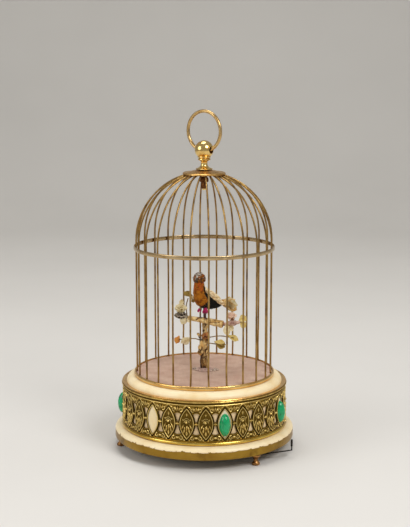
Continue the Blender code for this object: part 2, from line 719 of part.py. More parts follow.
def build_finial(gilt, bronze):
    """Stud, flare, neck, collar and ball in one turning, with a cross hole, and its nut."""
    nut_top = DOME_CENTRE + math.sqrt(CAP_UNDER_RADIUS**2 - NUT_RADIUS**2) - CLEARANCE
    nut_bottom = nut_top - NUT_HEIGHT
    stud_bottom = nut_bottom - STUD_TIP
    ball_low = math.degrees(math.asin(COLLAR_RADIUS / BALL_RADIUS))
    collar = FINIAL_BOTTOM + COLLAR_HEIGHT
    ball = arc((0.0, BALL_CENTRE), BALL_RADIUS, ball_low - 90, 90, 7)
    profile = [
        (0.0, stud_bottom),
        (STUD_RADIUS, stud_bottom),
        (STUD_RADIUS, FINIAL_BOTTOM),
        (FLARE_RADIUS, FINIAL_BOTTOM),
        ((FLARE_RADIUS + NECK_RADIUS) / 2, FINIAL_BOTTOM + FLARE_EDGE),
        (NECK_RADIUS, FINIAL_BOTTOM + FLARE_HEIGHT),
        (NECK_RADIUS, collar - COLLAR_SLOPE),
        (COLLAR_RADIUS, collar),
        *ball[:-1],
        (0.0, BALL_CENTRE + BALL_RADIUS),
    ]
    hole = rod(RING_HOLE_RADIUS, -2 * BALL_RADIUS, 2 * BALL_RADIUS, FINIAL_SEGMENTS)
    lie_down = Matrix.Rotation(math.radians(90), 3, "Y")
    bmesh.ops.rotate(hole, verts=hole.verts, matrix=lie_down)
    bmesh.ops.rotate(hole, verts=hole.verts, matrix=Matrix.Rotation(math.radians(-RING_TURN), 3, "Z"))
    on_spot(hole, (0, 0), BALL_CENTRE)
    add_object("finial", combined(turned(profile, FINIAL_SEGMENTS), cut=[hole]), gilt)
    bore = STUD_RADIUS + CLEARANCE
    nut = [(bore, nut_bottom)]
    for radius_share, low_share, high_share in ((0.75, 0.0, 0.34), (0.95, 0.38, 0.68), (1.0, 0.72, 1.0)):
        for share in (low_share, high_share):
            nut.append((NUT_RADIUS * radius_share, nut_bottom + NUT_HEIGHT * share))
    nut.append((bore, nut_top))
    add_mesh("finial_nut", turned(nut, PIN_SEGMENTS), bronze)


def build_hanging_ring(gilt):
    """The ring stands in the plane of the ball's hole. Its origin is on the hole's axis."""
    bm = bmesh.new()
    section = []
    for corner in range(RING_SIDES):
        angle = math.tau * corner / RING_SIDES
        across = RING_WIRE_RADIUS * math.sin(angle)
        section.append(bm.verts.new((RING_RADIUS + RING_WIRE_RADIUS * math.cos(angle), across, 0)))
    edges = [bm.edges.new((section[i], section[(i + 1) % RING_SIDES])) for i in range(RING_SIDES)]
    bmesh.ops.spin(
        bm,
        geom=section + edges,
        cent=(0, 0, 0),
        axis=(0, 1, 0),
        angle=math.tau,
        steps=RING_SEGMENTS,
        use_merge=True,
    )
    bmesh.ops.remove_doubles(bm, verts=bm.verts, dist=1e-7)
    on_spot(bm, (0, 0), RING_CENTRE - BALL_CENTRE)
    ring = add_mesh("hanging_ring", bm, gilt, (0, 0, BALL_CENTRE))
    ring.rotation_euler.z = math.radians(-RING_TURN)


def perch_point(x):
    """A point on the perch's centre line: it falls towards the right."""
    return Vector((x, 0.0, PERCH_HEIGHT - PERCH_SLOPE * (x - TRUNK_X)))


def leaf(centre, length, width, lean, roll):
    """A flat leaf along X, with its tip leaning up by lean degrees and its face rolled over."""
    turn = Matrix.Rotation(math.radians(-lean), 4, "Y") @ Matrix.Rotation(math.radians(roll), 4, "X")
    return blob(centre, (length / 2, width / 2, LEAF_THICKNESS), turn, around=8, rings=3)


def twig(*points, radius=TWIG_RADIUS):
    """A thin branch through its points."""
    return swept(points, [radius] * len(points), 4)


def build_tree(wood):
    """Trunk, perch, twigs, leaves and blossoms in one piece, with the push rod's bore."""
    left = TRUNK_X - PERCH_LEFT_REACH
    right = TRUNK_X + PERCH_RIGHT_REACH
    perch_shares = ((left, 0.45), (left * 0.6, 0.6), (left * 0.3, 0.8), (TRUNK_X, 1.0), (right, 1.05))
    perch_radii = [PERCH_RADIUS * size for _, size in perch_shares]
    perch = swept([perch_point(x) for x, _ in perch_shares], perch_radii, 8)
    knob_share = TRUNK_KNOB_RADIUS / TRUNK_RADIUS
    trunk_shares = ((0.0, 1.2), (0.08, 1.05), (0.6, 1.0), (0.69, knob_share), (0.78, 0.95), (1.0, 0.8))
    trunk_low = TRUNK_BOTTOM + ROOT_THICKNESS / 2
    trunk_length = PERCH_HEIGHT - trunk_low
    path = [(TRUNK_X, 0.0, trunk_low + trunk_length * share) for share, _ in trunk_shares]
    trunk = swept(path, [TRUNK_RADIUS * size for _, size in trunk_shares], 10)
    root_top = TRUNK_BOTTOM + ROOT_THICKNESS
    spigot_low = CAGE_BOTTOM - SPIGOT_DROP
    trunk_spot = (TRUNK_X, 0)
    bore_high = PERCH_HEIGHT + 3 * PERCH_RADIUS
    bore = rod(ROD_BORE_RADIUS, spigot_low - SPIGOT_DROP, bore_high, BORE_SEGMENTS, trunk_spot)
    joined = [
        perch,
        rod(ROOT_RADIUS, TRUNK_BOTTOM, root_top, PIN_SEGMENTS, trunk_spot),
        rod(SPIGOT_RADIUS, spigot_low, root_top + SPIGOT_DROP, BORE_SEGMENTS, trunk_spot),
        *low_growth(left),
        *perch_growth(perch_point(left), perch_point(right)),
    ]
    add_object("tree", combined(trunk, joined=joined, cut=[bore]), wood)


def grown(x, y, z):
    """An offset on the growth's grid."""
    return Vector((x, y, z)) * GROWTH_STEP


def low_growth(left):
    """Twigs, leaves and a bud that leave the trunk below the perch."""
    fork = Vector((TRUNK_X, 0, TRUNK_BOTTOM + PERCH_RISE * 0.55)) + grown(0.1, 0.3, 0)
    left_bud = Vector((left, 0, fork.z)) + grown(0.7, 1, 2.5)
    left_leaf = Vector((left, 0, fork.z)) + grown(7.5, 0, 3.5)
    near_leaf = fork + grown(12, -1, -1.5)
    right_leaf = fork + grown(24, -2, 4.5)
    step = GROWTH_STEP
    return [
        twig(fork, fork + grown(-9.9, 0, 3.5), left_bud),
        twig(fork + grown(0.3, -0.5, 0.2), near_leaf),
        twig(fork + grown(-0.2, -0.4, 4), fork + grown(12.5, -1, 6), right_leaf),
        twig(fork + grown(0.2, -0.2, -6), fork + grown(-6.1, -1, 8.5), radius=TWIG_RADIUS * 1.8),
        blob(left_bud, (2.2 * step, 1.6 * step, 2.8 * step), around=6, rings=4),
        leaf(left_leaf, 6.5 * step, 5 * step, 25, 60),
        leaf(near_leaf, 8.5 * step, 5 * step, 5, 55),
        leaf(right_leaf, 9 * step, 4.5 * step, -20, 50),
    ]


def perch_growth(left_end, right_end):
    """Blossoms, a rosebud and leaves at the perch's two ends."""
    far_right = right_end + grown(16.6, 0, 2.5)
    mid_left = left_end + grown(10, 6, 13.5)
    step = GROWTH_STEP
    return [
        twig(right_end + grown(-3, 0.3, 0.1), right_end + grown(5.5, 0.2, 0.6), far_right),
        twig(perch_point(left_end.x * 0.6) + grown(0, 0.2, 0), mid_left),
        leaf(far_right, 8 * step, 6.5 * step, 35, 60),
        leaf(mid_left, 7 * step, 4 * step, -30, 50),
        blob(left_end + grown(3.5, 0, 4.5), (4.4 * step, 3.6 * step, 4.8 * step), around=8, rings=5),
        blob(left_end + grown(3.5, -1, -1), (5 * step, 3 * step, 2.6 * step), around=8, rings=4),
        blob(right_end + grown(7.1, 0, 7.3), (3.3 * step, 3.3 * step, 3.6 * step), around=8, rings=5),
        blob(right_end + grown(5.5, 0, -1), (2.6 * step, 2.4 * step, 6.6 * step), around=6, rings=5),
    ]


def body_point(forward, height, sideways=0.0):
    """A point given along, above and to the left of the bird's own directions."""
    ahead = azimuth_direction(BIRD_AZIMUTH)
    left = Vector((0, 0, 1)).cross(ahead)
    return Vector((BIRD_X, 0, 0)) + ahead * forward + left * sideways + Vector((0, 0, height))


def rump_end():
    """The middle of the body's back end, which the tail is hinged on."""
    return body_point(-RUMP_BACK, BODY_HEIGHT - RUMP_DROP)


def build_bird_body(feathers):
    """Body, wings, legs and post, with the push rod's blind bore from below."""
    spine = [
        (NECK_FORWARD, NECK_TOP, BIRD_NECK_RADIUS),
        (NECK_FORWARD * 0.95, NECK_TOP - BODY_RADIUS * 0.65, BODY_RADIUS * 0.69),
        (NECK_FORWARD * 0.75, NECK_TOP - BODY_RADIUS * 1.38, BODY_RADIUS * 0.86),
        (NECK_FORWARD * 0.2, BODY_HEIGHT, BODY_RADIUS),
        (-RUMP_BACK * 0.17, BODY_HEIGHT - BODY_RADIUS * 0.43, BODY_RADIUS * 0.88),
        (-RUMP_BACK * 0.5, BODY_HEIGHT - BODY_RADIUS * 0.48, BODY_RADIUS * 0.66),
        (-RUMP_BACK * 0.82, BODY_HEIGHT - BODY_RADIUS * 0.33, BODY_RADIUS * 0.44),
        (-RUMP_BACK, BODY_HEIGHT - RUMP_DROP, RUMP_RADIUS),
    ]
    body = swept([body_point(x, height) for x, height, _ in spine], [radius for _, _, radius in spine], 12)
    flatten_neck(body, len(spine))
    perch_top = PERCH_HEIGHT + PERCH_RADIUS + CLEARANCE
    trunk_spot = (TRUNK_X, 0)
    post = rod(POST_RADIUS, perch_top, BODY_HEIGHT, PIN_SEGMENTS, trunk_spot)
    tuft_centre = (TRUNK_X - BODY_RADIUS * 0.1, 0, BODY_HEIGHT - BODY_RADIUS * 1.17)
    joined = [post, blob(tuft_centre, (TUFT_RADIUS,) * 3)]
    for side in (-1, 1):
        wide = side * BODY_RADIUS
        shoulder = body_point(BODY_RADIUS * 0.07, NECK_TOP - BODY_RADIUS * 1.23, wide * 0.82)
        elbow = body_point(-BODY_RADIUS * 0.87, BODY_HEIGHT + BODY_RADIUS * 0.22, wide * 0.86)
        tip = body_point(-RUMP_BACK * 1.02, BODY_HEIGHT - BODY_RADIUS * 0.72, wide * 0.42)
        joined.append(swept([shoulder, elbow, tip], WING_HALF_WIDTHS, 8, flatness=0.4))
        hip = body_point(0.0, BODY_HEIGHT - BODY_RADIUS * 0.6, side * LEG_SPREAD)
        ankle = Vector((TRUNK_X + side * LEG_SPREAD, 0, perch_top + CLEARANCE + PERCH_SLOPE * LEG_SPREAD))
        joined.append(swept([hip, ankle], [LEG_RADIUS] * 2, 5))
    bore_high = BODY_HEIGHT - BODY_RADIUS + ROD_TOP_LIFT + ROD_STROKE + CLEARANCE
    bore = rod(ROD_BORE_RADIUS, perch_top - POST_RADIUS, bore_high, BORE_SEGMENTS, trunk_spot)
    add_object("bird_body", combined(body, joined=joined, cut=[bore]), feathers)


def flatten_neck(bm, rings):
    """Levels the body's first ring, so that the head turns on a flat face."""
    bm.verts.ensure_lookup_table()
    count = len(bm.verts) // rings
    for vert in bm.verts[:count]:
        vert.co.z = NECK_TOP


def build_bird_head(feathers, horn, pivot):
    """The head turns about its upright axis. The lower beak is hinged in a slot at its front."""
    head = blob((0, 0, HEAD_CUT), (HEAD_RADIUS,) * 3, around=14, rings=9)
    bmesh.ops.bisect_plane(
        head,
        geom=head.verts[:] + head.edges[:] + head.faces[:],
        plane_co=(0, 0, 0),
        plane_no=(0, 0, -1),
        clear_outer=True,
    )
    bmesh.ops.holes_fill(head, edges=head.edges, sides=0)
    root = Vector((0, -HEAD_RADIUS * 0.8, HEAD_CUT - HEAD_RADIUS * 0.1))
    tip = Vector((0, -HEAD_RADIUS - BEAK_LENGTH, root.z - BEAK_RADIUS * 0.4))
    beak_start = root + Vector((0, BEAK_RADIUS, BEAK_RADIUS * 0.5))
    upper = swept([beak_start, tip], [BEAK_RADIUS, BEAK_RADIUS / 5], 8)
    jaw_radius = BEAK_RADIUS * 0.45
    slot_height = 2 * (jaw_radius + CLEARANCE)
    slot_size = (slot_height, HEAD_RADIUS + BEAK_LENGTH, slot_height * 1.6)
    slot_low = Vector((0, root.y + jaw_radius + 2 * CLEARANCE, root.z - BEAK_RADIUS * 0.3))
    slot_middle = slot_low - Vector((0, slot_size[1] / 2, slot_size[2] / 2))
    slot = bmesh.new()
    place = Matrix.Translation(slot_middle) @ Matrix.Diagonal((*slot_size, 1.0))
    bmesh.ops.create_cube(slot, size=1.0, matrix=place)
    add_object("bird_head", combined(head, joined=[upper], cut=[slot]), feathers, parent=pivot)
    hinge = bpy.data.objects.new("lower_beak_axis", None)
    hinge.parent = pivot
    hinge.location = (0, root.y, slot_low.z - CLEARANCE - jaw_radius)
    bpy.context.collection.objects.link(hinge)
    jaw_tip = Vector((0, tip.y - root.y + BEAK_RADIUS * 0.3, 0))
    jaw = [Vector((0, 0, 0)), jaw_tip * 0.4, jaw_tip]
    bm = swept(jaw, [jaw_radius, jaw_radius, jaw_radius / 4], 6)
    add_mesh("lower_beak", bm, horn, parent=hinge)


def build_bird_tail(feathers):
    """A fan of feathers whose round root sits on the tail's hinge."""
    along = -azimuth_direction(BIRD_AZIMUTH)
    sections = (
        (-RUMP_RADIUS * 0.7, 0.0, RUMP_RADIUS * 0.5),
        (RUMP_RADIUS * 0.1, 0.0, RUMP_RADIUS * 0.95),
        (TAIL_LENGTH * 0.3, TAIL_DROP * 0.02, TAIL_HALF_WIDTH * 0.8),
        (TAIL_LENGTH * 0.62, TAIL_DROP * 0.26, TAIL_HALF_WIDTH),
        (TAIL_LENGTH * 0.88, TAIL_DROP * 0.67, TAIL_HALF_WIDTH * 0.7),
        (TAIL_LENGTH, TAIL_DROP, TAIL_HALF_WIDTH * 0.3),
    )
    path = [along * reach - Vector((0, 0, drop)) for reach, drop, _ in sections]
    bm = swept(path, [width for _, _, width in sections], 10, flatness=TAIL_FLATNESS)
    bmesh.ops.rotate(bm, verts=bm.verts, matrix=Matrix.Rotation(math.radians(TAIL_ROLL), 3, along))
    hinge = rump_end() + along * (RUMP_RADIUS * 0.8 + TAIL_GAP)
    add_mesh("bird_tail", bm, feathers, hinge)


def build_bird(feathers, horn):
    build_bird_body(feathers)
    pivot = bpy.data.objects.new("head_axis", None)
    pivot.location = body_point(NECK_FORWARD, NECK_TOP + CLEARANCE)
    pivot.rotation_euler.z = math.radians(HEAD_AZIMUTH)
    bpy.context.collection.objects.link(pivot)
    build_bird_head(feathers, horn, pivot)
    build_bird_tail(feathers)


def build_bird_rod(steel):
    """The push rod, from over the movement up into the bird."""
    low = MOVEMENT_TOP + MOVEMENT_PLATE + CLEARANCE
    high = BODY_HEIGHT - BODY_RADIUS + ROD_TOP_LIFT
    add_mesh("bird_rod", rod(ROD_RADIUS, low, high, BORE_SEGMENTS, (TRUNK_X, 0)), steel)


def build_lever(blued):
    """A bent wire on a hub, whose end is turned up as a tab. Its origin is the pivot."""
    pivot = Vector((*lever_spot(LEVER_PIVOT_AZIMUTH, PLATE_RADIUS - LEVER_PIVOT_INSET), 0))
    tab = Vector((*lever_spot(LEVER_TAB_AZIMUTH, PLINTH_RADIUS + LEVER_TAB_REACH), 0)) - pivot
    hub_top = PLATE_BOTTOM - CLEARANCE
    hub_low = hub_top - LEVER_HUB_HEIGHT
    along = tab.normalized()
    wire_height = Vector((0, 0, hub_low + LEVER_WIRE_RADIUS))
    tab_low = tab - along * (LEVER_TAB_RADIUS * 2) + wire_height
    wire = swept([wire_height, tab_low], [LEVER_WIRE_RADIUS] * 2, 6)
    rises = (LEVER_WIRE_RADIUS * 2, LEVER_TAB_FOOT, LEVER_TAB_RISE)
    up = [tab_low - along * LEVER_WIRE_RADIUS / 2]
    up += [tab + wire_height + Vector((0, 0, rise)) for rise in rises]
    middle_radius = (LEVER_WIRE_RADIUS + LEVER_TAB_RADIUS) / 2
    turned_up = swept(up, [LEVER_WIRE_RADIUS, middle_radius, LEVER_TAB_RADIUS, LEVER_TAB_RADIUS], 6)
    hub = rod(LEVER_HUB_RADIUS, hub_low, hub_top, PIN_SEGMENTS)
    bore_radius = LEVER_PIN_RADIUS + CLEARANCE
    bore = rod(bore_radius, hub_low - bore_radius, hub_top + bore_radius, PIN_SEGMENTS)
    add_object("start_lever", combined(hub, joined=[wire, turned_up], cut=[bore]), blued, pivot)


def meshed_centre(centre, first_teeth, second_teeth, direction):
    """Centre of a gear that meshes with one at a centre, in a direction in degrees from +X."""
    distance = (first_teeth + second_teeth) * GEAR_MODULE / 2 + GEAR_PLAY
    turn = math.radians(direction)
    return (centre[0] + distance * math.cos(turn), centre[1] + distance * math.sin(turn))


def gear_phase(teeth, direction, with_tooth):
    """Turn of a gear whose tooth, or whose gap, points in a direction."""
    return direction if with_tooth else direction + 180 / teeth


def build_movement(brass, steel):
    cam_centre = meshed_centre(BARREL_CENTRE, BARREL_TEETH, CAM_PINION_TEETH, CAM_DIRECTION)
    fly_centre = meshed_centre(cam_centre, FLY_WHEEL_TEETH, FLY_PINION_TEETH, FLY_DIRECTION)
    build_movement_frame(brass, cam_centre, fly_centre)
    build_barrel(brass)
    build_cam_stack(brass, cam_centre)
    build_fly(steel, fly_centre)
    build_key(steel)


def build_movement_frame(brass, cam_centre, fly_centre):
    """Two plates on four pillars that stand on the bottom plate, with a hole for each arbor."""
    outline = []
    pillars = []
    pillar_low = PLATE_TOP + CLEARANCE
    pillar_high = MOVEMENT_TOP + MOVEMENT_PLATE / 2
    for corner_x, corner_y, start in ((1, 1, 0), (-1, 1, 90), (-1, -1, 180), (1, -1, 270)):
        x = MOVEMENT_CENTRE[0] + corner_x * (MOVEMENT_LENGTH / 2 - PILLAR_INSET)
        y = MOVEMENT_CENTRE[1] + corner_y * (MOVEMENT_WIDTH / 2 - PILLAR_INSET)
        outline += arc((x, y), PILLAR_INSET, start, start + 90, 2)
        pillars.append(rod(PILLAR_RADIUS, pillar_low, pillar_high, BORE_SEGMENTS, (x, y)))
    lower_plate = prism(outline, MOVEMENT_BOTTOM, MOVEMENT_BOTTOM + MOVEMENT_PLATE)
    upper_plate = prism(outline, MOVEMENT_TOP, MOVEMENT_TOP + MOVEMENT_PLATE)
    holes = []
    arbors = ((BARREL_CENTRE, KEY_SHAFT_RADIUS), (cam_centre, PIVOT_RADIUS), (fly_centre, PIVOT_RADIUS))
    for spot, radius in arbors:
        low = MOVEMENT_BOTTOM - MOVEMENT_PLATE
        high = MOVEMENT_TOP + 2 * MOVEMENT_PLATE
        holes.append(rod(radius + CLEARANCE, low, high, BORE_SEGMENTS, spot))
    mesh = combined(lower_plate, joined=[*pillars, upper_plate], cut=holes)
    add_object("movement_frame", mesh, brass)


def build_barrel(brass):
    """Toothed flange with the spring's drum on it, turning on the key's shaft."""
    teeth = toothed_outline(BARREL_TEETH, GEAR_MODULE, CAM_DIRECTION)
    rim = prism(teeth, TRAIN_BOTTOM, TRAIN_BOTTOM + GEAR_THICKNESS)
    drum_radius = BARREL_TEETH * GEAR_MODULE / 2 - BARREL_RIM
    drum = rod(drum_radius, TRAIN_BOTTOM + GEAR_THICKNESS / 2, BARREL_TOP, CAP_SEGMENTS)
    bore = KEY_SHAFT_RADIUS + CLEARANCE
    hole = rod(bore, TRAIN_BOTTOM - bore, BARREL_TOP + bore, PIN_SEGMENTS)
    add_object("spring_barrel", combined(rim, joined=[drum], cut=[hole]), brass, (*BARREL_CENTRE, 0))


def build_cam_stack(brass, centre):
    """Pinion, two cams and the fly wheel on one arbor."""
    low = MOVEMENT_BOTTOM + CLEARANCE
    high = MOVEMENT_TOP + MOVEMENT_PLATE - CLEARANCE
    inner_low = MOVEMENT_BOTTOM + MOVEMENT_PLATE + CLEARANCE
    inner_high = MOVEMENT_TOP - CLEARANCE
    arbor_profile = [
        (0, low),
        (PIVOT_RADIUS, low),
        (PIVOT_RADIUS, inner_low),
        (ARBOR_RADIUS, inner_low),
        (ARBOR_RADIUS, inner_high),
        (PIVOT_RADIUS, inner_high),
        (PIVOT_RADIUS, high),
        (0, high),
    ]
    phase = gear_phase(CAM_PINION_TEETH, CAM_DIRECTION + 180, False)
    pinion_outline = toothed_outline(CAM_PINION_TEETH, GEAR_MODULE, phase)
    pinion_low = TRAIN_BOTTOM - PINION_OVERLAP
    forms = [prism(pinion_outline, pinion_low, TRAIN_BOTTOM + GEAR_THICKNESS + PINION_OVERLAP)]
    for number, lobes in enumerate((3, 5)):
        cam_low = BARREL_TOP + CAM_GAP + number * (CAM_THICKNESS + CAM_GAP)
        forms.append(prism(cam_outline(lobes), cam_low, cam_low + CAM_THICKNESS))
    phase = gear_phase(FLY_WHEEL_TEETH, FLY_DIRECTION, True)
    wheel_outline = toothed_outline(FLY_WHEEL_TEETH, GEAR_MODULE, phase)
    forms.append(prism(wheel_outline, FLY_WHEEL_LOW, FLY_WHEEL_LOW + FLY_WHEEL_THICKNESS))
    mesh = combined(turned(arbor_profile, BORE_SEGMENTS), joined=forms)
    add_object("cam_stack", mesh, brass, (*centre, 0))


def cam_outline(lobes):
    """A wavy disc whose lobes lift the bird's rod and the whistle's piston."""
    points = []
    for step in range(CAM_STEPS):
        angle = math.tau * step / CAM_STEPS
        radius = CAM_RADIUS + CAM_LOBE / 2 * math.cos(lobes * angle)
        points.append((radius * math.cos(angle), radius * math.sin(angle)))
    return points


def build_fly(steel, centre):
    """Governor pinion and its two air vanes."""
    low = MOVEMENT_BOTTOM + CLEARANCE
    high = MOVEMENT_TOP + MOVEMENT_PLATE - CLEARANCE
    arbor = rod(PIVOT_RADIUS, low, high, BORE_SEGMENTS)
    phase = gear_phase(FLY_PINION_TEETH, FLY_DIRECTION + 180, False)
    outline = toothed_outline(FLY_PINION_TEETH, GEAR_MODULE, phase)
    pinion_high = FLY_WHEEL_LOW + FLY_WHEEL_THICKNESS + PINION_OVERLAP
    pinion = prism(outline, FLY_WHEEL_LOW - PINION_OVERLAP, pinion_high)
    half = PIVOT_RADIUS * 0.6
    reach = FLY_VANE_RADIUS
    corners = [(-reach, -half), (reach, -half), (reach, half), (-reach, half)]
    vane = prism(corners, TRAIN_BOTTOM, TRAIN_BOTTOM + FLY_VANE_HEIGHT)
    add_object("governor_fly", combined(arbor, joined=[pinion, vane]), steel, (*centre, 0))


def build_key(steel):
    """A winged key under the base, on the shaft that runs up into the barrel."""
    shaft_high = BARREL_TOP - CLEARANCE
    hub_high = PLATE_BOTTOM - CLEARANCE
    hub_low = hub_high - KEY_HUB_HEIGHT
    profile = [
        (0, hub_low),
        (KEY_HUB_RADIUS, hub_low),
        (KEY_HUB_RADIUS, hub_high),
        (KEY_SHAFT_RADIUS, hub_high),
        (KEY_SHAFT_RADIUS, shaft_high),
        (0, shaft_high),
    ]
    half = KEY_BOW_WIDTH / 2
    round_centre = (half - KEY_BOW_ROUND, KEY_BOW_HEIGHT - KEY_BOW_ROUND)
    wing = [(half, 0.0), *arc(round_centre, KEY_BOW_ROUND, 0, 90, 3)]
    outline = wing + [(-x, y) for x, y in reversed(wing)]
    bow = prism(outline, -KEY_BOW_THICKNESS / 2, KEY_BOW_THICKNESS / 2)
    bmesh.ops.rotate(bow, verts=bow.verts, matrix=Matrix.Rotation(math.radians(90), 3, "X"))
    on_spot(bow, (0, 0), hub_low - KEY_BOW_DROP)
    mesh = combined(turned(profile, PIN_SEGMENTS), joined=[bow])
    add_object("winding_key", mesh, steel, (*BARREL_CENTRE, 0))


def build_bellows(leather, wood):
    """Fixed board and folded leather in one piece, and the moving board hinged over it."""
    half = BELLOWS_LENGTH / 2
    base = PLATE_TOP + CLEARANCE
    board_top = base + BELLOWS_BOARD
    slope = (BELLOWS_OPEN_HEIGHT - BELLOWS_HINGE_HEIGHT) / BELLOWS_LENGTH
    bm = bmesh.new()
    rings = [bellows_ring(bm, base, 0.0, 0.0), bellows_ring(bm, board_top, 0.0, 0.0)]
    for fold in range(2 * BELLOWS_FOLDS):
        inset = 0.0 if fold % 2 else BELLOWS_FOLD_DEPTH
        rings.append(bellows_ring(bm, board_top, inset, (fold + 1) / (2 * BELLOWS_FOLDS)))
    for low, high in zip(rings, rings[1:]):
        for corner in range(4):
            following = (corner + 1) % 4
            bm.faces.new((low[corner], low[following], high[following], high[corner]))
    bm.faces.new(reversed(rings[0]))
    bm.faces.new(rings[-1])
    bmesh.ops.triangulate(bm, faces=bm.faces)
    bellows_y = BELLOWS_INSET - PLINTH_BORE_RADIUS
    add_mesh("bellows", bm, leather, (BELLOWS_X, bellows_y, 0))
    corners = [(0, 0), (BELLOWS_LENGTH, 0), (BELLOWS_LENGTH, BELLOWS_BOARD), (0, BELLOWS_BOARD)]
    board = prism(corners, -BELLOWS_WIDTH / 2, BELLOWS_WIDTH / 2)
    bmesh.ops.rotate(board, verts=board.verts, matrix=Matrix.Rotation(math.radians(90), 3, "X"))
    hinge_height = board_top + BELLOWS_HINGE_HEIGHT + CLEARANCE
    hinge = (BELLOWS_X - half, bellows_y, hinge_height)
    hinged = add_mesh("bellows_board", board, wood, hinge)
    hinged.rotation_euler.y = -math.atan(slope)


def bellows_ring(bm, base, inset, open_share):
    """Four corners of one fold, drawn in by an inset, at a share of the way up the wedge."""
    slope = (BELLOWS_OPEN_HEIGHT - BELLOWS_HINGE_HEIGHT) / BELLOWS_LENGTH
    half = BELLOWS_LENGTH / 2
    ring = []
    for side_x, side_y in ((-1, -1), (1, -1), (1, 1), (-1, 1)):
        height = BELLOWS_HINGE_HEIGHT + slope * half * (1 + side_x)
        x = side_x * (half - inset)
        y = side_y * (BELLOWS_WIDTH / 2 - inset)
        ring.append(bm.verts.new((x, y, base + height * open_share)))
    return ring


def build_whistle(brass, steel):
    """A tube on the upper plate, with its piston inside and the rod out of its end."""
    height = MOVEMENT_TOP + MOVEMENT_PLATE + CLEARANCE + WHISTLE_RADIUS
    inner = WHISTLE_RADIUS - WHISTLE_WALL
    half = WHISTLE_LENGTH / 2
    profile = [
        (0, -half),
        (WHISTLE_RADIUS, -half),
        (WHISTLE_RADIUS, half),
        (inner, half),
        (inner, WHISTLE_WALL - half),
        (0, WHISTLE_WALL - half),
    ]
    front = half - PISTON_DEPTH
    back = front + PISTON_LENGTH
    piston_radius = inner - CLEARANCE
    piston_profile = [
        (0, front),
        (piston_radius, front),
        (piston_radius, back),
        (PISTON_ROD_RADIUS, back),
        (PISTON_ROD_RADIUS, back + PISTON_ROD_LENGTH),
        (0, back + PISTON_ROD_LENGTH),
    ]
    lie_down = Matrix.Rotation(math.radians(90), 3, "Y")
    for name, outline, metal in (("whistle", profile, brass), ("whistle_piston", piston_profile, steel)):
        form = turned(outline, PIN_SEGMENTS)
        bmesh.ops.rotate(form, verts=form.verts, matrix=lie_down)
        add_mesh(name, form, metal, (*WHISTLE_CENTRE, height))


def main():
    clear_scene()
    gilt = finish_material("gilt brass", (0.62, 0.42, 0.15), 0.28, 1.0)
    cream = finish_material("cream enamel", (0.9, 0.78, 0.55), 0.45, 0.0)
    stamped = finish_material("stamped brass", (0.5, 0.35, 0.12), 0.38, 1.0)
    malachite = finish_material("green stone", (0.01, 0.35, 0.16), 0.15, 0.0)
    paper = finish_material("dusty pink paper", (0.47, 0.35, 0.32), 0.9, 0.0)
    bronze = finish_material("browned brass", (0.2, 0.12, 0.05), 0.45, 1.0)
    wood = finish_material("pale painted branch", (0.6, 0.45, 0.2), 0.7, 0.0)
    feathers = finish_material("orange and dark feathers", (0.42, 0.2, 0.03), 0.8, 0.0)
    horn = finish_material("dark horn", (0.05, 0.03, 0.02), 0.4, 0.0)
    blued = finish_material("blued steel wire", (0.02, 0.018, 0.016), 0.4, 0.8)
    steel = finish_material("plain steel", (0.45, 0.44, 0.42), 0.35, 1.0)
    leather = finish_material("kid leather", (0.55, 0.45, 0.33), 0.8, 0.0)
    board = finish_material("bellows board", (0.4, 0.26, 0.13), 0.6, 0.0)
    build_feet(gilt)
    build_plinth(cream)
    build_bottom_plate(steel)
    build_drum(cream)
    build_frieze(stamped)
    build_cabochons(malachite)
    build_floor(paper)
    build_cage(gilt)
    build_finial(gilt, bronze)
    build_hanging_ring(gilt)
    build_tree(wood)
    build_bird(feathers, horn)
    build_bird_rod(steel)
    build_lever(blued)
    build_movement(stamped, steel)
    build_bellows(leather, board)
    build_whistle(stamped, steel)


main()
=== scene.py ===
"""Looks of a round singing bird cage: pierced brass base, domed wire cage, dressed bird on a branch."""

import json
import logging
import math
import random
from collections.abc import Callable, Sequence
from dataclasses import dataclass, field
from enum import Enum
from functools import partial
from typing import ClassVar

import bmesh
import bpy
from mathutils import Matrix, Vector, noise

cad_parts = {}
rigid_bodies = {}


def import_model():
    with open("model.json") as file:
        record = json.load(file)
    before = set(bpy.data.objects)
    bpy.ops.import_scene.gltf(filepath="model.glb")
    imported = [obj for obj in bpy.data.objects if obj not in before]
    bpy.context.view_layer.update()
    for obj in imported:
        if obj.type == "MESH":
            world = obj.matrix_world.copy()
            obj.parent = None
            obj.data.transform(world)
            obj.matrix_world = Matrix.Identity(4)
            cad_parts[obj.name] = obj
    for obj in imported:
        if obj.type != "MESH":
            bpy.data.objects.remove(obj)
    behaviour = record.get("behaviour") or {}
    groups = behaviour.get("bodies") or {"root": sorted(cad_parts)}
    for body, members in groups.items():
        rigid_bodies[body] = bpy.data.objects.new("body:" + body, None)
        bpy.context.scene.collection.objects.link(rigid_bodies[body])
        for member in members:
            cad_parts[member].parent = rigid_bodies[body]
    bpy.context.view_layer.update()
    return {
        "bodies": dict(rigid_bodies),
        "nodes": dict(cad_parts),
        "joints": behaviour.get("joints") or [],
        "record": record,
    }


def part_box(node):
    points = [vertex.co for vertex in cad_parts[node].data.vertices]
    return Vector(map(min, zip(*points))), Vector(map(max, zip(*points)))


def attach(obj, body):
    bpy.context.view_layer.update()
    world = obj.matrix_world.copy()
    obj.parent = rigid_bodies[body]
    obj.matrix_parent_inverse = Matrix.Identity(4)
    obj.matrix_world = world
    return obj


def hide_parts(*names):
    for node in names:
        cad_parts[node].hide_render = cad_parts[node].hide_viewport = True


LOG = logging.getLogger("bird_cage")

WAVE_LENGTH = 314.0  # millimetres from line to line of a wave texture at a scale of 1

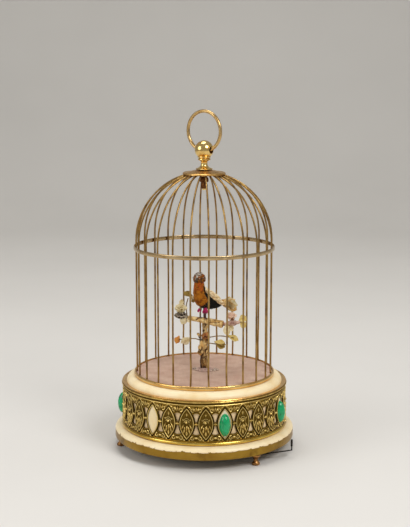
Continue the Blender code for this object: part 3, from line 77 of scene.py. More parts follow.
Point = tuple[float, float, float]
Outline = list[tuple[float, float]]
Shape = bmesh.types.BMesh
Material = bpy.types.Material
Nodes = bpy.types.NodeTree
Node = bpy.types.Node
Socket = bpy.types.NodeSocket
UP = Vector((0.0, 0.0, 1.0))


class Body(Enum):
    """The moving bodies that pieces ride on."""

    CAGE = "cage"
    RING = "hanging_ring"
    HEAD = "bird_head"
    BEAK = "lower_beak"
    TAIL = "bird_tail"
    LEVER = "start_lever"


def linear(colour: str) -> tuple[float, float, float, float]:
    """Turns an sRGB hex colour into linear red, green, blue and alpha."""
    channels = [int(colour[start:start + 2], 16) / 255 for start in (1, 3, 5)]
    return (*[c / 12.92 if c <= 0.04045 else ((c + 0.055) / 1.055) ** 2.4 for c in channels], 1.0)


def add_node(tree: Nodes, kind: str, inputs: dict | None = None, **settings: object) -> Node:
    """Adds a node with its settings, input values and links.

    Args:
        tree: the node tree to add to.
        kind: the node's type.
        inputs: a value or an output socket for each input, by name or number.
        settings: the node's own settings; stops fills a colour ramp with (place, hex colour) pairs.

    Returns:
        The new node.
    """
    node = tree.nodes.new(kind)
    stops = settings.pop("stops", None)
    for name, value in settings.items():
        setattr(node, name, value)
    if stops:
        ramp = node.color_ramp
        while len(ramp.elements) < len(stops):
            ramp.elements.new(0.5)
        for element, (place, colour) in zip(ramp.elements, stops):
            element.position = place
            element.color = linear(colour)
    for key, value in (inputs or {}).items():
        if isinstance(value, Socket):
            tree.links.new(value, node.inputs[key])
        else:
            node.inputs[key].default_value = value
    return node


def start_finish(name: str, **values: object) -> tuple[Material, Nodes, Node]:
    """Starts a material with a Principled shader.

    Args:
        name: the real material's name.
        values: constant socket values, with underscores for the spaces in their names.

    Returns:
        The material, its node tree and its shader.
    """
    material = bpy.data.materials.new(name)
    material.use_nodes = True
    tree = material.node_tree
    shader = tree.nodes["Principled BSDF"]
    for key, value in values.items():
        shader.inputs[key.replace("_", " ")].default_value = value
    return material, tree, shader


def here(tree: Nodes) -> Socket:
    """Adds the place on the piece, by its own directions, and returns the socket."""
    return add_node(tree, "ShaderNodeTexCoord").outputs["Object"]


def patches(tree: Nodes, size_mm: float, low: float, high: float, **extra: object) -> Socket:
    """Adds soft patches of a real size: 0 in the patches' gaps and 1 in their middles.

    Args:
        tree: the node tree to add to.
        size_mm: rough distance between patches.
        low: noise level where a patch begins.
        high: noise level where it is full.
        extra: detail, seed (a shift of the pattern in metres), turn (in radians about each axis) and
            stretch (a scale for each axis).

    Returns:
        The socket with the patches.
    """
    shifted = add_node(tree, "ShaderNodeMapping", {
        "Vector": here(tree), "Location": (extra.get("seed", 0.0),) * 3,
        "Rotation": extra.get("turn", (0.0, 0.0, 0.0)), "Scale": extra.get("stretch", (1.0, 1.0, 1.0)),
    })
    grain = add_node(tree, "ShaderNodeTexNoise", {
        "Vector": shifted.outputs["Vector"], "Scale": 1000.0 / size_mm, "Detail": extra.get("detail", 3.0),
        "Roughness": 0.55,
    })
    level = add_node(tree, "ShaderNodeMapRange",
                     {"Value": grain.outputs["Fac"], "From Min": low, "From Max": high})
    return level.outputs["Result"]


def blend(tree: Nodes, share: Socket | float, first: object, second: object, way: str = "MIX") -> Socket:
    """Blends two colours, each a hex colour or a socket.

    Args:
        tree: the node tree to add to.
        share: how much of the second colour shows.
        first: the colour below.
        second: the colour above.
        way: the way of blending.

    Returns:
        The blended colour's socket.
    """
    colours = [linear(colour) if isinstance(colour, str) else colour for colour in (first, second)]
    mix = add_node(tree, "ShaderNodeMix", {"Factor": share}, data_type="RGBA", blend_type=way)
    for socket, colour in zip((mix.inputs[6], mix.inputs[7]), colours):
        if isinstance(colour, Socket):
            tree.links.new(colour, socket)
        else:
            socket.default_value = colour
    return mix.outputs[2]


def relief(tree: Nodes, shader: Node, height: Socket, depth_mm: float, strength: float = 1.0) -> None:
    """Raises a shader's surface by a height pattern.

    Args:
        tree: the node tree to add to.
        shader: the shader that takes the relief.
        height: the pattern, from 0 to 1.
        depth_mm: how high the pattern's 1 stands.
        strength: how strongly it shows.
    """
    bump = add_node(tree, "ShaderNodeBump",
                    {"Height": height, "Distance": depth_mm / 1000, "Strength": strength})
    tree.links.new(bump.outputs["Normal"], shader.inputs["Normal"])


def spread(tree: Nodes, shader: Node, socket: str, source: Socket, low: float, high: float) -> None:
    """Drives a shader's socket from a pattern, from its value at 0 to its value at 1."""
    level = add_node(tree, "ShaderNodeMapRange", {"Value": source, "To Min": low, "To Max": high})
    tree.links.new(level.outputs["Result"], shader.inputs[socket])


def paint(tree: Nodes, shader: Node, colour: Socket) -> None:
    """Gives a shader its base colour from a socket."""
    tree.links.new(colour, shader.inputs["Base Color"])


@dataclass(frozen=True)
class GiltBrass:
    """Brass, turned or drawn and then gilt: bright yellow, with browned patches where the gilding is worn."""

    name: str
    bright: str = "#e3bd68"
    warm: str = "#bd8735"
    brown: str = "#5b3915"
    roughness: float = 0.24
    patch_mm: float = 7.0
    browned: float = 0.35
    grain_mm: float = 0.5

    def make(self) -> Material:
        """Builds the material.

        Returns:
            The material.
        """
        material, tree, shader = start_finish(self.name, Metallic=1.0)
        worn = patches(tree, self.patch_mm, 0.35, 0.68, detail=5.0)
        tone = blend(tree, worn, self.bright, self.warm)
        stain = patches(tree, self.patch_mm * 0.6, 0.72 - self.browned * 0.5, 0.8, seed=0.4, detail=6.0)
        paint(tree, shader, blend(tree, stain, tone, self.brown))
        spread(tree, shader, "Roughness", stain, self.roughness, self.roughness + 0.22)
        relief(tree, shader, patches(tree, self.grain_mm, 0.3, 0.7, detail=2.0), 0.02, 0.5)
        return material


@dataclass(frozen=True)
class StampedBrass:
    """Thin pressed brass: polished on its high lines, and painted dark in its hollows as shade and dirt."""

    name: str
    wall_low: tuple[float, float]
    wall_high: tuple[float, float]
    hollow_mm: float = 0.7
    crest_mm: float = 1.5
    dark: str = "#2a1c0a"
    middle: str = "#94762f"
    bright: str = "#efd283"
    roughness: float = 0.3

    def make(self) -> Material:
        """Builds the material.

        Returns:
            The material.
        """
        material, tree, shader = start_finish(self.name, Metallic=1.0)
        place = here(tree)
        parts = add_node(tree, "ShaderNodeSeparateXYZ", {"Vector": place})
        flat = add_node(tree, "ShaderNodeCombineXYZ", {"X": parts.outputs["X"], "Y": parts.outputs["Y"]})
        reach = add_node(tree, "ShaderNodeVectorMath", {0: flat.outputs["Vector"]}, operation="LENGTH")
        wall = add_node(tree, "ShaderNodeMapRange", {
            "Value": parts.outputs["Z"],
            "From Min": self.wall_low[1], "From Max": self.wall_high[1],
            "To Min": self.wall_low[0], "To Max": self.wall_high[0],
        })
        rise = add_node(tree, "ShaderNodeMath", {0: reach.outputs["Value"], 1: wall.outputs["Result"]},
                        operation="SUBTRACT")
        height = add_node(tree, "ShaderNodeMapRange", {
            "Value": rise.outputs["Value"], "From Min": self.hollow_mm / 1000,
            "From Max": self.crest_mm / 1000,
        })
        # Colour by height over the wall: the hollows take the dark colour as painted shade and dirt, the
        # crests the bright one.
        tone = add_node(tree, "ShaderNodeValToRGB", {"Fac": height.outputs["Result"]}, stops=(
            (0.0, self.dark), (0.45, self.middle), (0.85, self.bright)))
        aged = blend(tree, patches(tree, 9.0, 0.4, 0.75, seed=0.2, detail=5.0), tone.outputs["Color"],
                     self.middle, "MULTIPLY")
        kept = blend(tree, 0.3, tone.outputs["Color"], aged)
        paint(tree, shader, kept)
        spread(tree, shader, "Roughness", height.outputs["Result"], self.roughness + 0.35, self.roughness)
        relief(tree, shader, patches(tree, 0.7, 0.3, 0.7, detail=3.0), 0.05, 0.6)
        return material


@dataclass(frozen=True)
class CreamEnamel:
    """Oil paint on metal: warm cream with a half gloss, faint brush marks and a little yellowing."""

    name: str
    base: str = "#fdeac0"
    yellowed: str = "#f0d39b"
    roughness: float = 0.38

    def make(self) -> Material:
        """Builds the material.

        Returns:
            The material.
        """
        material, tree, shader = start_finish(self.name, IOR=1.5)
        aged = patches(tree, 16.0, 0.45, 0.8, detail=4.0)
        paint(tree, shader, blend(tree, aged, self.base, self.yellowed))
        spread(tree, shader, "Roughness", aged, self.roughness, self.roughness + 0.12)
        relief(tree, shader, patches(tree, 1.1, 0.2, 0.8, detail=3.0, stretch=(1.0, 1.0, 3.0)), 0.03, 0.5)
        return material


@dataclass(frozen=True)
class ChippedEnamel:
    """The same cream paint over gilt brass: whole on the moulding, chipped to metal along its lower edge."""

    name: str
    edge_height: float
    cream: CreamEnamel
    gilt: GiltBrass
    wander_mm: float = 0.9
    chip_mm: float = 3.2

    def make(self) -> Material:
        """Builds the material.

        Returns:
            The material.
        """
        material, tree, shader = start_finish(self.name)
        place = here(tree)
        height = add_node(tree, "ShaderNodeSeparateXYZ", {"Vector": place}).outputs["Z"]
        bites = patches(tree, self.chip_mm, 0.52, 0.72, detail=6.0)
        wander = patches(tree, self.chip_mm * 4, 0.3, 0.7, seed=0.7, detail=2.0)
        lift = add_node(tree, "ShaderNodeMath",
                        {0: bites, 1: self.wander_mm * 1.6 / 1000, 2: self.edge_height},
                        operation="MULTIPLY_ADD")
        line = add_node(tree, "ShaderNodeMath",
                        {0: wander, 1: self.wander_mm / 1000, 2: lift.outputs["Value"]},
                        operation="MULTIPLY_ADD")
        above = add_node(tree, "ShaderNodeMath", {0: height, 1: line.outputs["Value"]}, operation="SUBTRACT")
        painted = add_node(tree, "ShaderNodeMapRange", {
            "Value": above.outputs["Value"], "From Min": -0.00004, "From Max": 0.00004,
        }).outputs["Result"]
        fringe = add_node(tree, "ShaderNodeMapRange", {
            "Value": above.outputs["Value"], "From Min": 0.0, "From Max": 0.0005, "To Min": 1.0,
            "To Max": 0.0,
        })
        cream = blend(tree, patches(tree, 16.0, 0.45, 0.8, detail=4.0), self.cream.base, self.cream.yellowed)
        cream = blend(tree, fringe.outputs["Result"], cream, "#a98148")
        stain = patches(tree, 11.0, 0.56, 0.85, seed=0.4, detail=5.0)
        metal = blend(tree, patches(tree, 16.0, 0.35, 0.68, detail=5.0), self.gilt.bright, self.gilt.warm)
        metal = blend(tree, stain, metal, self.gilt.brown)
        paint(tree, shader, blend(tree, painted, metal, cream))
        spread(tree, shader, "Metallic", painted, 1.0, 0.0)
        spread(tree, shader, "Roughness", painted, 0.34, self.cream.roughness)
        relief(tree, shader, painted, 0.18, 0.9)
        return material


@dataclass(frozen=True)
class GreenStone:
    """A polished cabochon: deep green with paler clouds and darker veins under a wet gloss."""

    name: str
    body: str = "#0b8c54"
    cloud: str = "#37b27c"
    vein: str = "#024a28"

    def make(self) -> Material:
        """Builds the material.

        Returns:
            The material.
        """
        material, tree, shader = start_finish(self.name, IOR=1.6, Roughness=0.16, Specular_IOR_Level=0.35,
                                              Coat_Weight=0.2, Coat_Roughness=0.04)
        cloudy = patches(tree, 4.5, 0.42, 0.72, detail=4.0)
        veined = patches(tree, 2.0, 0.56, 0.66, seed=0.3, detail=6.0, stretch=(1.0, 1.0, 0.45))
        colour = blend(tree, veined, blend(tree, cloudy, self.body, self.cloud), self.vein)
        paint(tree, shader, colour)
        relief(tree, shader, veined, 0.02, 0.3)
        return material


@dataclass(frozen=True)
class FloorPaper:
    """Laid paper pasted over a disc: faded dusty pink, with fine straight lines and a dry bloom."""

    name: str
    base: str = "#bd967f"
    faded: str = "#d2b29a"
    line: str = "#927068"
    line_mm: float = 1.1

    def make(self) -> Material:
        """Builds the material.

        Returns:
            The material.
        """
        material, tree, shader = start_finish(self.name, Roughness=0.92, Sheen_Weight=0.15,
                                              Sheen_Roughness=0.5)
        place = here(tree)
        lines = add_node(tree, "ShaderNodeTexWave", {
            "Vector": place, "Scale": WAVE_LENGTH / self.line_mm, "Distortion": 0.8, "Detail": 2.0,
            "Detail Scale": 2.0,
        }, bands_direction="X")
        thin = add_node(tree, "ShaderNodeMapRange", {
            "Value": lines.outputs["Fac"], "From Min": 0.75, "From Max": 1.0,
        })
        tone = blend(tree, patches(tree, 11.0, 0.35, 0.7, detail=6.0), self.base, self.faded)
        speck = patches(tree, 0.9, 0.6, 0.75, seed=0.5, detail=3.0)
        tone = blend(tree, speck, tone, self.line)
        shade = add_node(tree, "ShaderNodeMath", {0: thin.outputs["Result"], 1: 0.4}, operation="MULTIPLY")
        paint(tree, shader, blend(tree, shade.outputs["Value"], tone, self.line))
        relief(tree, shader, lines.outputs["Fac"], 0.06, 0.5)
        return material


@dataclass(frozen=True)
class PaintedBark:
    """A branch wound with paper strip, painted ochre and cream: flaking, with brown hollows."""

    name: str
    ochre: str = "#c9a263"
    cream: str = "#ecd6a2"
    brown: str = "#54351a"
    hollow: float = 0.52
    flake_mm: float = 2.6
    grain: float = 1.0

    def make(self) -> Material:
        """Builds the material.

        Returns:
            The material.
        """
        material, tree, shader = start_finish(self.name, Roughness=0.75, Specular_IOR_Level=0.25)
        long = (1.0, 1.0, self.grain)
        flakes = patches(tree, self.flake_mm, 0.38, 0.6, detail=6.0, stretch=long)
        tone = blend(tree, flakes, self.ochre, self.cream)
        holes = patches(tree, self.flake_mm * 0.8, self.hollow, self.hollow + 0.1, seed=0.25, detail=6.0,
                        stretch=long)
        paint(tree, shader, blend(tree, holes, tone, self.brown))
        relief(tree, shader, flakes, 0.25, 0.9)
        return material


@dataclass(frozen=True)
class CottonLeaf:
    """Starched cotton cut to a leaf or a petal: dyed, faded in patches, with a fine weave."""

    name: str
    base: str
    faded: str
    thread_mm: float = 0.35

    def make(self) -> Material:
        """Builds the material.

        Returns:
            The material.
        """
        material, tree, shader = start_finish(self.name, Roughness=0.85, Specular_IOR_Level=0.2,
                                              Sheen_Weight=0.15, Sheen_Roughness=0.4)
        paint(tree, shader, blend(tree, patches(tree, 3.0, 0.35, 0.65, detail=4.0), self.base, self.faded))
        place = here(tree)
        weave = add_node(tree, "ShaderNodeTexWave", {
            "Vector": place, "Scale": WAVE_LENGTH / self.thread_mm, "Distortion": 1.0,
        }, bands_direction="DIAGONAL")
        relief(tree, shader, weave.outputs["Fac"], 0.05, 0.5)
        return material


@dataclass(frozen=True)
class Plumage:
    """Dyed feathers: a soft sheen and fine barbs that run along the feather, in patches of two tones."""

    name: str
    base: str
    second: str
    fleck: str
    patch_mm: float = 4.0
    barb_mm: float = 0.5
    turn: Point = (0.0, 0.0, 0.0)
    share: float = 0.5

    def make(self) -> Material:
        """Builds the material.

        Returns:
            The material.
        """
        material, tree, shader = start_finish(self.name, Roughness=0.8, Specular_IOR_Level=0.15,
                                              Sheen_Weight=0.1, Sheen_Roughness=0.35)
        mottled = patches(tree, self.patch_mm, 0.62 - self.share * 0.3, 0.72 - self.share * 0.2, detail=4.0)
        tone = blend(tree, mottled, self.base, self.second)
        barbs = patches(tree, self.barb_mm, 0.35, 0.65, detail=3.0, turn=self.turn, stretch=(0.18, 1.0, 1.0))
        dark = patches(tree, self.barb_mm * 2, 0.55, 0.7, seed=0.3, detail=4.0, turn=self.turn,
                       stretch=(0.3, 1.0, 1.0))
        paint(tree, shader, blend(tree, dark, tone, self.fleck))
        relief(tree, shader, barbs, 0.12, 0.9)
        return material


@dataclass(frozen=True)
class PaintedHorn:
    """Painted horn: brown grey with a satin face, darker and rubbed smooth towards its streaks."""

    name: str
    base: str = "#6e5540"
    dark: str = "#33241a"

    def make(self) -> Material:
        """Builds the material.

        Returns:
            The material.
        """
        material, tree, shader = start_finish(self.name, Roughness=0.42)
        streaks = patches(tree, 1.2, 0.35, 0.65, detail=4.0, stretch=(1.0, 0.3, 1.0))
        paint(tree, shader, blend(tree, streaks, self.base, self.dark))
        relief(tree, shader, streaks, 0.03, 0.5)
        return material


@dataclass(frozen=True)
class JetBead:
    """A black glass bead: dark through and through, with a wet gloss and a faint brown cast."""

    name: str

    def make(self) -> Material:
        """Builds the material.

        Returns:
            The material.
        """
        material, tree, shader = start_finish(self.name, Roughness=0.06, IOR=1.52, Coat_Weight=0.6)
        paint(tree, shader, blend(tree, patches(tree, 0.6, 0.4, 0.7), "#060505", "#1c120c"))
        return material


@dataclass(frozen=True)
class Steel:
    """Drawn or filed steel: grey or blued, with fine lines left by the tool and a few dark spots."""

    name: str
    base: str = "#9c9a95"
    dark: str = "#5c5751"
    roughness: float = 0.34
    line_mm: float = 0.4
    stretch: Point = (0.1, 1.0, 1.0)

    def make(self) -> Material:
        """Builds the material.

        Returns:
            The material.
        """
        material, tree, shader = start_finish(self.name, Metallic=1.0)
        spots = patches(tree, 3.0, 0.5, 0.78, detail=6.0)
        lines = patches(tree, self.line_mm, 0.3, 0.7, seed=0.2, detail=2.0, stretch=self.stretch)
        paint(tree, shader, blend(tree, spots, self.base, self.dark))
        spread(tree, shader, "Roughness", lines, self.roughness, self.roughness + 0.15)
        relief(tree, shader, lines, 0.01, 0.5)
        return material


@dataclass(frozen=True)
class KidLeather:
    """Thin tanned skin on the bellows: pale, soft, with a pebbled grain and rubbed folds."""

    name: str
    base: str = "#c6ad8a"
    rubbed: str = "#a58a64"

    def make(self) -> Material:
        """Builds the material.

        Returns:
            The material.
        """
        material, tree, shader = start_finish(self.name, Roughness=0.7, Sheen_Weight=0.2)
        paint(tree, shader, blend(tree, patches(tree, 6.0, 0.4, 0.7, detail=4.0), self.base, self.rubbed))
        place = here(tree)
        pebbles = add_node(tree, "ShaderNodeTexVoronoi", {"Vector": place, "Scale": 1000 / 0.7},
                           feature="DISTANCE_TO_EDGE")
        relief(tree, shader, pebbles.outputs["Distance"], 0.1, 0.6)
        return material


@dataclass(frozen=True)
class BoardWood:
    """A planed hardwood board: brown, with straight grain along its length and dark pores."""

    name: str
    base: str = "#9a6d3f"
    dark: str = "#6d4522"
    grain_mm: float = 1.1

    def make(self) -> Material:
        """Builds the material.

        Returns:
            The material.
        """
        material, tree, shader = start_finish(self.name, Roughness=0.55)
        grain = patches(tree, self.grain_mm, 0.35, 0.7, detail=5.0, stretch=(0.08, 1.0, 1.0))
        paint(tree, shader, blend(tree, grain, self.base, self.dark))
        relief(tree, shader, grain, 0.05, 0.5)
        return material


def mm(*sizes: float) -> Vector:
    """A vector from sizes in millimetres."""
    return Vector([size / 1000 for size in sizes])


def placed(anchor: Vector, *steps: Point) -> list[Vector]:
    """Points at steps of millimetres from an anchor."""
    return [anchor + mm(*step) for step in steps]


def section(radius: float, height: float, *steps: tuple[float, float]) -> Outline:
    """Points of a turning's section, at millimetres outwards and upwards from a corner."""
    return [(radius + out / 1000, height + up / 1000) for out, up in steps]


def knots(origin: Sequence[float], *rows: tuple[float, ...]) -> list[tuple[float, ...]]:
    """Points with radii, from rows of millimetres along X, Y and Z from an origin, and the radius."""
    return [(*[start + step / 1000 for start, step in zip(origin, row)], row[-1] / 1000) for row in rows]


def quarter_round(radius: float, height: float, outer: float, top: float, steps: int) -> Outline:
    """A section's quarter round, from its outer foot to its top.

    Args:
        radius: where it ends, on top.
        height: where it starts, at the outside.
        outer: its outer radius.
        top: its top.
        steps: how many steps it has.

    Returns:
        The (radius, height) points.
    """
    angles = [0.5 * math.pi * step / steps for step in range(steps + 1)]
    run, rise = outer - radius, top - height
    return [(radius + run * math.cos(angle), height + rise * math.sin(angle)) for angle in angles]


def rotation(degrees: float, axis: str) -> Matrix:
    """A turn about an axis."""
    return Matrix.Rotation(math.radians(degrees), 4, axis)


def axes(along: Vector, across: Vector, out: Vector) -> Matrix:
    """A matrix that lays X, Y and Z along three directions."""
    return Matrix((along, across, out)).transposed().to_4x4()


def turned(profile: Sequence[tuple[float, float]], segments: int) -> Shape:
    """Spins a closed section round the upright axis.

    Args:
        profile: (radius, height) points in order round the section.
        segments: how many steps the full turn has.

    Returns:
        The closed shape.
    """
    bm = bmesh.new()
    verts = [bm.verts.new((radius, 0.0, height)) for radius, height in profile]
    edges = [bm.edges.new(pair) for pair in zip(verts, verts[1:])]
    if min(profile[0][0], profile[-1][0]) > 1e-7:
        edges.append(bm.edges.new((verts[-1], verts[0])))
    bmesh.ops.spin(bm, geom=verts + edges, cent=(0, 0, 0), axis=(0, 0, 1), angle=math.tau, steps=segments,
                   use_merge=True)
    bmesh.ops.remove_doubles(bm, verts=bm.verts, dist=1e-7)
    bmesh.ops.recalc_face_normals(bm, faces=bm.faces)
    return bm


def ball(centre: Point, half_sizes: Point, turn: Matrix | None = None, around: int = 16,
         rings: int = 10) -> Shape:
    """An egg-shaped lump.

    Args:
        centre: its middle.
        half_sizes: half its size along each of its own axes.
        turn: a turn about its middle.
        around: segments round it.
        rings: rings from pole to pole.

    Returns:
        The closed shape.
    """
    bm = bmesh.new()
    place = Matrix.Translation(centre) @ (turn or Matrix()) @ Matrix.Diagonal((*half_sizes, 1.0))
    bmesh.ops.create_uvsphere(bm, u_segments=around, v_segments=rings, radius=1.0, matrix=place)
    return bm


def tube(path: Sequence[Point], radii: float | Sequence[float], sides: int = 10) -> Shape:
    """A round bar along a path, made by extruding a disc from point to point.

    Args:
        path: the middle line's points.
        radii: one radius, or one for each point.
        sides: how many sides the bar has.

    Returns:
        The closed shape.
    """
    points = [Vector(point) for point in path]
    sizes = [radii] * len(points) if isinstance(radii, float) else list(radii)
    heading = (points[1] - points[0]).normalized()
    across = heading.orthogonal().normalized()
    bm = bmesh.new()
    bmesh.ops.create_circle(bm, cap_ends=True, segments=sides, radius=1.0)
    cap = next(iter(bm.faces))
    last = Matrix()
    for number, point in enumerate(points):
        before = points[max(number - 1, 0)]
        after = points[min(number + 1, len(points) - 1)]
        heading = (after - before).normalized()
        across = (across - heading * across.dot(heading)).normalized()
        aside = heading.cross(across)
        size = Matrix.Diagonal((sizes[number], sizes[number], 1.0, 1.0))
        place = Matrix.Translation(point) @ axes(across, aside, heading) @ size
        if number:
            grown = bmesh.ops.extrude_face_region(bm, geom=[cap])["geom"]
            cap = next(item for item in grown if isinstance(item, bmesh.types.BMFace))
        bmesh.ops.transform(bm, matrix=place @ last.inverted(), verts=cap.verts)
        last = place
    bmesh.ops.recalc_face_normals(bm, faces=bm.faces)
    return bm


def blade(length: float, width: float, thickness: float, **form: float) -> Shape:
    """A thin pointed blade, such as a leaf or a feather, along +X from the origin.

    Args:
        length: from root to tip.
        width: at its widest.
        thickness: of the sheet.
        form: point (how early it narrows, 0 to 1), cup (rise of its long edges), curl (rise of its tip),
            root (width share at its root), wave (height of its ripples), along and across (its faces).

    Returns:
        The closed shape.
    """
    bm = bmesh.new()
    bmesh.ops.create_grid(bm, x_segments=form.get("along", 10), y_segments=form.get("across", 4), size=0.5)
    widest = 0.8 * (1 - form.get("point", 0.6) * 0.55)
    for vert in bm.verts:
        share = vert.co.x + 0.5
        side = vert.co.y * 2
        if share < widest:
            swell = math.sin(0.5 * math.pi * share / widest)
        else:
            swell = math.cos(0.5 * math.pi * (share - widest) / (1 - widest))
        swell = max(swell, form.get("root", 0.25) * (1 - share), 0.04)
        lift = form.get("curl", 0.0) * share**2 + form.get("cup", 0.0) * side**2
        lift += form.get("wave", 0.0) * math.sin(share * 9 + side * 2)
        vert.co = Vector((share * length, side * swell * width / 2, lift))
    bmesh.ops.solidify(bm, geom=bm.faces[:], thickness=thickness)
    bmesh.ops.recalc_face_normals(bm, faces=bm.faces)
    return bm


def joined(shapes: Sequence[Shape]) -> Shape:
    """Puts several shapes in one, and frees them.

    Args:
        shapes: the shapes to join.

    Returns:
        One shape that holds them all.
    """
    whole = bmesh.new()
    for shape in shapes:
        mesh = bpy.data.meshes.new("scratch")
        shape.to_mesh(mesh)
        shape.free()
        whole.from_mesh(mesh)
        bpy.data.meshes.remove(mesh)
    return whole


def moved(shape: Shape, matrix: Matrix) -> Shape:
    """Moves a shape by a matrix, and turns its faces back out if the matrix mirrors it.

    Args:
        shape: the shape.
        matrix: the move.

    Returns:
        The same shape, moved.
    """
    bmesh.ops.transform(shape, matrix=matrix, verts=shape.verts)
    if matrix.determinant() < 0:
        bmesh.ops.reverse_faces(shape, faces=shape.faces)
    return shape


def aimed(start: Point, end: Point, roll: float = 0.0) -> Matrix:
    """A matrix that lays +X along a line and keeps +Z as upright as it can.

    Args:
        start: where the origin goes.
        end: a point that +X looks at.
        roll: a turn about the line, in degrees.

    Returns:
        The matrix.
    """
    ahead = (Vector(end) - Vector(start)).normalized()
    guide = UP if abs(ahead.z) < 0.97 else Vector((0, -1, 0))
    left = guide.cross(ahead).normalized()
    return Matrix.Translation(start) @ axes(ahead, left, ahead.cross(left)) @ rotation(roll, "X")


def direction(azimuth: float) -> Vector:
    """The level direction at an azimuth in degrees: 0 is the front (-Y), 90 the right (+X)."""
    turn = math.radians(azimuth)
    return Vector((math.sin(turn), -math.cos(turn), 0.0))


def rounded(points: Sequence[tuple[float, float]], times: int = 2) -> Outline:
    """Cuts the corners of a closed section, so that it is soft all round.

    Args:
        points: the section's corners.
        times: how often the corners are cut.

    Returns:
        The softer section.
    """
    for _ in range(times):
        softer = []
        for first, second in zip(points, [*points[1:], points[0]]):
            for share in (0.25, 0.75):
                softer.append(tuple(a + (b - a) * share for a, b in zip(first, second)))
        points = softer
    return list(points)


def upright(shape: Shape, spot: tuple[float, float]) -> Shape:
    """Moves a shape that was turned on the axis to a spot on the ground."""
    return moved(shape, Matrix.Translation((*spot, 0.0)))


def cut(shape: Shape, tools: Sequence[Shape]) -> Shape:
    """Cuts tools out of a shape, exactly.

    Args:
        shape: the shape that keeps its name.
        tools: the shapes that are taken out.

    Returns:
        The cut shape.
    """
    things = []
    for form in (shape, *tools):
        mesh = bpy.data.meshes.new("scratch")
        form.to_mesh(mesh)
        form.free()
        thing = bpy.data.objects.new("scratch", mesh)
        bpy.context.scene.collection.objects.link(thing)
        things.append(thing)
    for tool in things[1:]:
        boolean = things[0].modifiers.new("cut", "BOOLEAN")
        boolean.operation = "DIFFERENCE"
        boolean.object = tool
    graph = bpy.context.evaluated_depsgraph_get()
    mesh = bpy.data.meshes.new_from_object(things[0].evaluated_get(graph))
    result = bmesh.new()
    result.from_mesh(mesh)
    bpy.data.meshes.remove(mesh)
    for thing in things:
        scratch = thing.data
        bpy.data.objects.remove(thing, do_unlink=True)
        bpy.data.meshes.remove(scratch)
    return result


def eased(points: Sequence[Sequence[float]], steps: int) -> list[Vector]:
    """Runs a smooth curve through points that may carry a radius as well.

    Args:
        points: the points to pass through, each with three or four numbers.
        steps: how many steps lie between two points.

    Returns:
        The finer points.
    """
    rows = [Vector(point) for point in points]
    rows = [rows[0] * 2 - rows[1], *rows, rows[-1] * 2 - rows[-2]]
    finer = []
    for number in range(1, len(rows) - 2):
        before, first, second, after = rows[number - 1:number + 3]
        for step in range(steps):
            t = step / steps
            curve = 2 * first + (second - before) * t
            curve += (2 * before - 5 * first + 4 * second - after) * t**2
            curve += (3 * first - before - 3 * second + after) * t**3
            finer.append(0.5 * curve)
    return [*finer, rows[-2]]


def gnarled(points: Sequence[Sequence[float]], steps: int, sides: int, rough: float, seed: float) -> Shape:
    """A bar through points with radii, with a knotty surface.

    Args:
        points: x, y, z and radius at each point.
        steps: smoothing steps between points.
        sides: how many sides the bar has.
        rough: how far the surface wanders, as a share of the radius.
        seed: where the pattern is read.

    Returns:
        The closed shape.
    """
    rows = eased(points, steps)
    shape = tube([row.xyz for row in rows], [row.w for row in rows], sides)
    shape.normal_update()
    for vert in shape.verts:
        place = vert.co * 420 + Vector((seed, seed, seed))
        near = min(rows, key=lambda row: (row.xyz - vert.co).length)
        vert.co += vert.normal * near.w * rough * noise.noise(place)
    return shape


def vane(start: Vector, tip: Vector, width: float, thickness: float, roll: float = 0.0,
         **form: float) -> Shape:
    """A blade laid from its root to its tip and rolled in degrees, with its form as a blade takes it."""
    return moved(blade((tip - start).length, width, thickness, **form), aimed(start, tip, roll))


def plume(spot: Vector, turn: Matrix, length: float, share: float, thickness: float) -> Shape:
    """A small flat feather: its length, its half width as a share of that, and half its thickness."""
    lump = ball((0, 0, 0), (length / 2, length * share, thickness), around=7, rings=4)
    return moved(lump, Matrix.Translation(spot) @ turn)


def sliced(shape: Shape, place: Point, outwards: Point) -> Shape:
    """Takes away what lies beyond a plane, and closes the cut.

    Args:
        shape: the shape.
        place: a point of the plane.
        outwards: the plane's direction, towards what is taken away.

    Returns:
        The shape that is left.
    """
    everything = shape.verts[:] + shape.edges[:] + shape.faces[:]
    bmesh.ops.bisect_plane(shape, geom=everything, plane_co=place, plane_no=outwards, clear_outer=True)
    bmesh.ops.holes_fill(shape, edges=shape.edges, sides=0)
    return shape


@dataclass
class Workshop:
    """Turns finished shapes into pieces: names, dresses and hangs them on their bodies."""

    finishes: dict[str, Material] = field(default_factory=dict)

    def piece(self, name: str, shape: Shape, finish: object, slot: str, body: Body = Body.CAGE,
              replaces: Sequence[str] = (), crease: float = 40.0) -> bpy.types.Object:
        """Makes a piece of a shape.

        Args:
            name: the piece's name.
            shape: its mesh, in place.
            finish: the finish that dresses it.
            slot: the record's material slot; not used.
            body: the body that it rides on.
            replaces: the solids that it stands for.
            crease: edges sharper than this many degrees stay sharp.

        Returns:
            The piece.
        """
        mesh = bpy.data.meshes.new(name)
        shape.to_mesh(mesh)
        shape.free()
        mesh.shade_smooth()
        mesh.set_sharp_from_angle(angle=math.radians(crease))
        mesh.materials.append(self.dress(finish))
        thing = bpy.data.objects.new(name, mesh)
        bpy.context.scene.collection.objects.link(thing)
        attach(thing, body.value)
        if replaces:
            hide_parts(*replaces)
        LOG.info("%s: %d faces", name, len(mesh.polygons))
        return thing

    def dress(self, finish: object) -> Material:
        """Finds or makes a finish's material.

        Args:
            finish: the finish.

        Returns:
            Its material, made once.
        """
        if finish.name not in self.finishes:
            self.finishes[finish.name] = finish.make()
        return self.finishes[finish.name]

    def dress_node(self, frame: dict, node: str, finish: object) -> None:
        """Gives a carried-over solid a finish.

        Args:
            frame: the loaded frame.
            node: the solid's name.
            finish: the finish.
        """
        thing = frame["nodes"][node]
        thing.data.materials.clear()
        thing.data.materials.append(self.dress(finish))


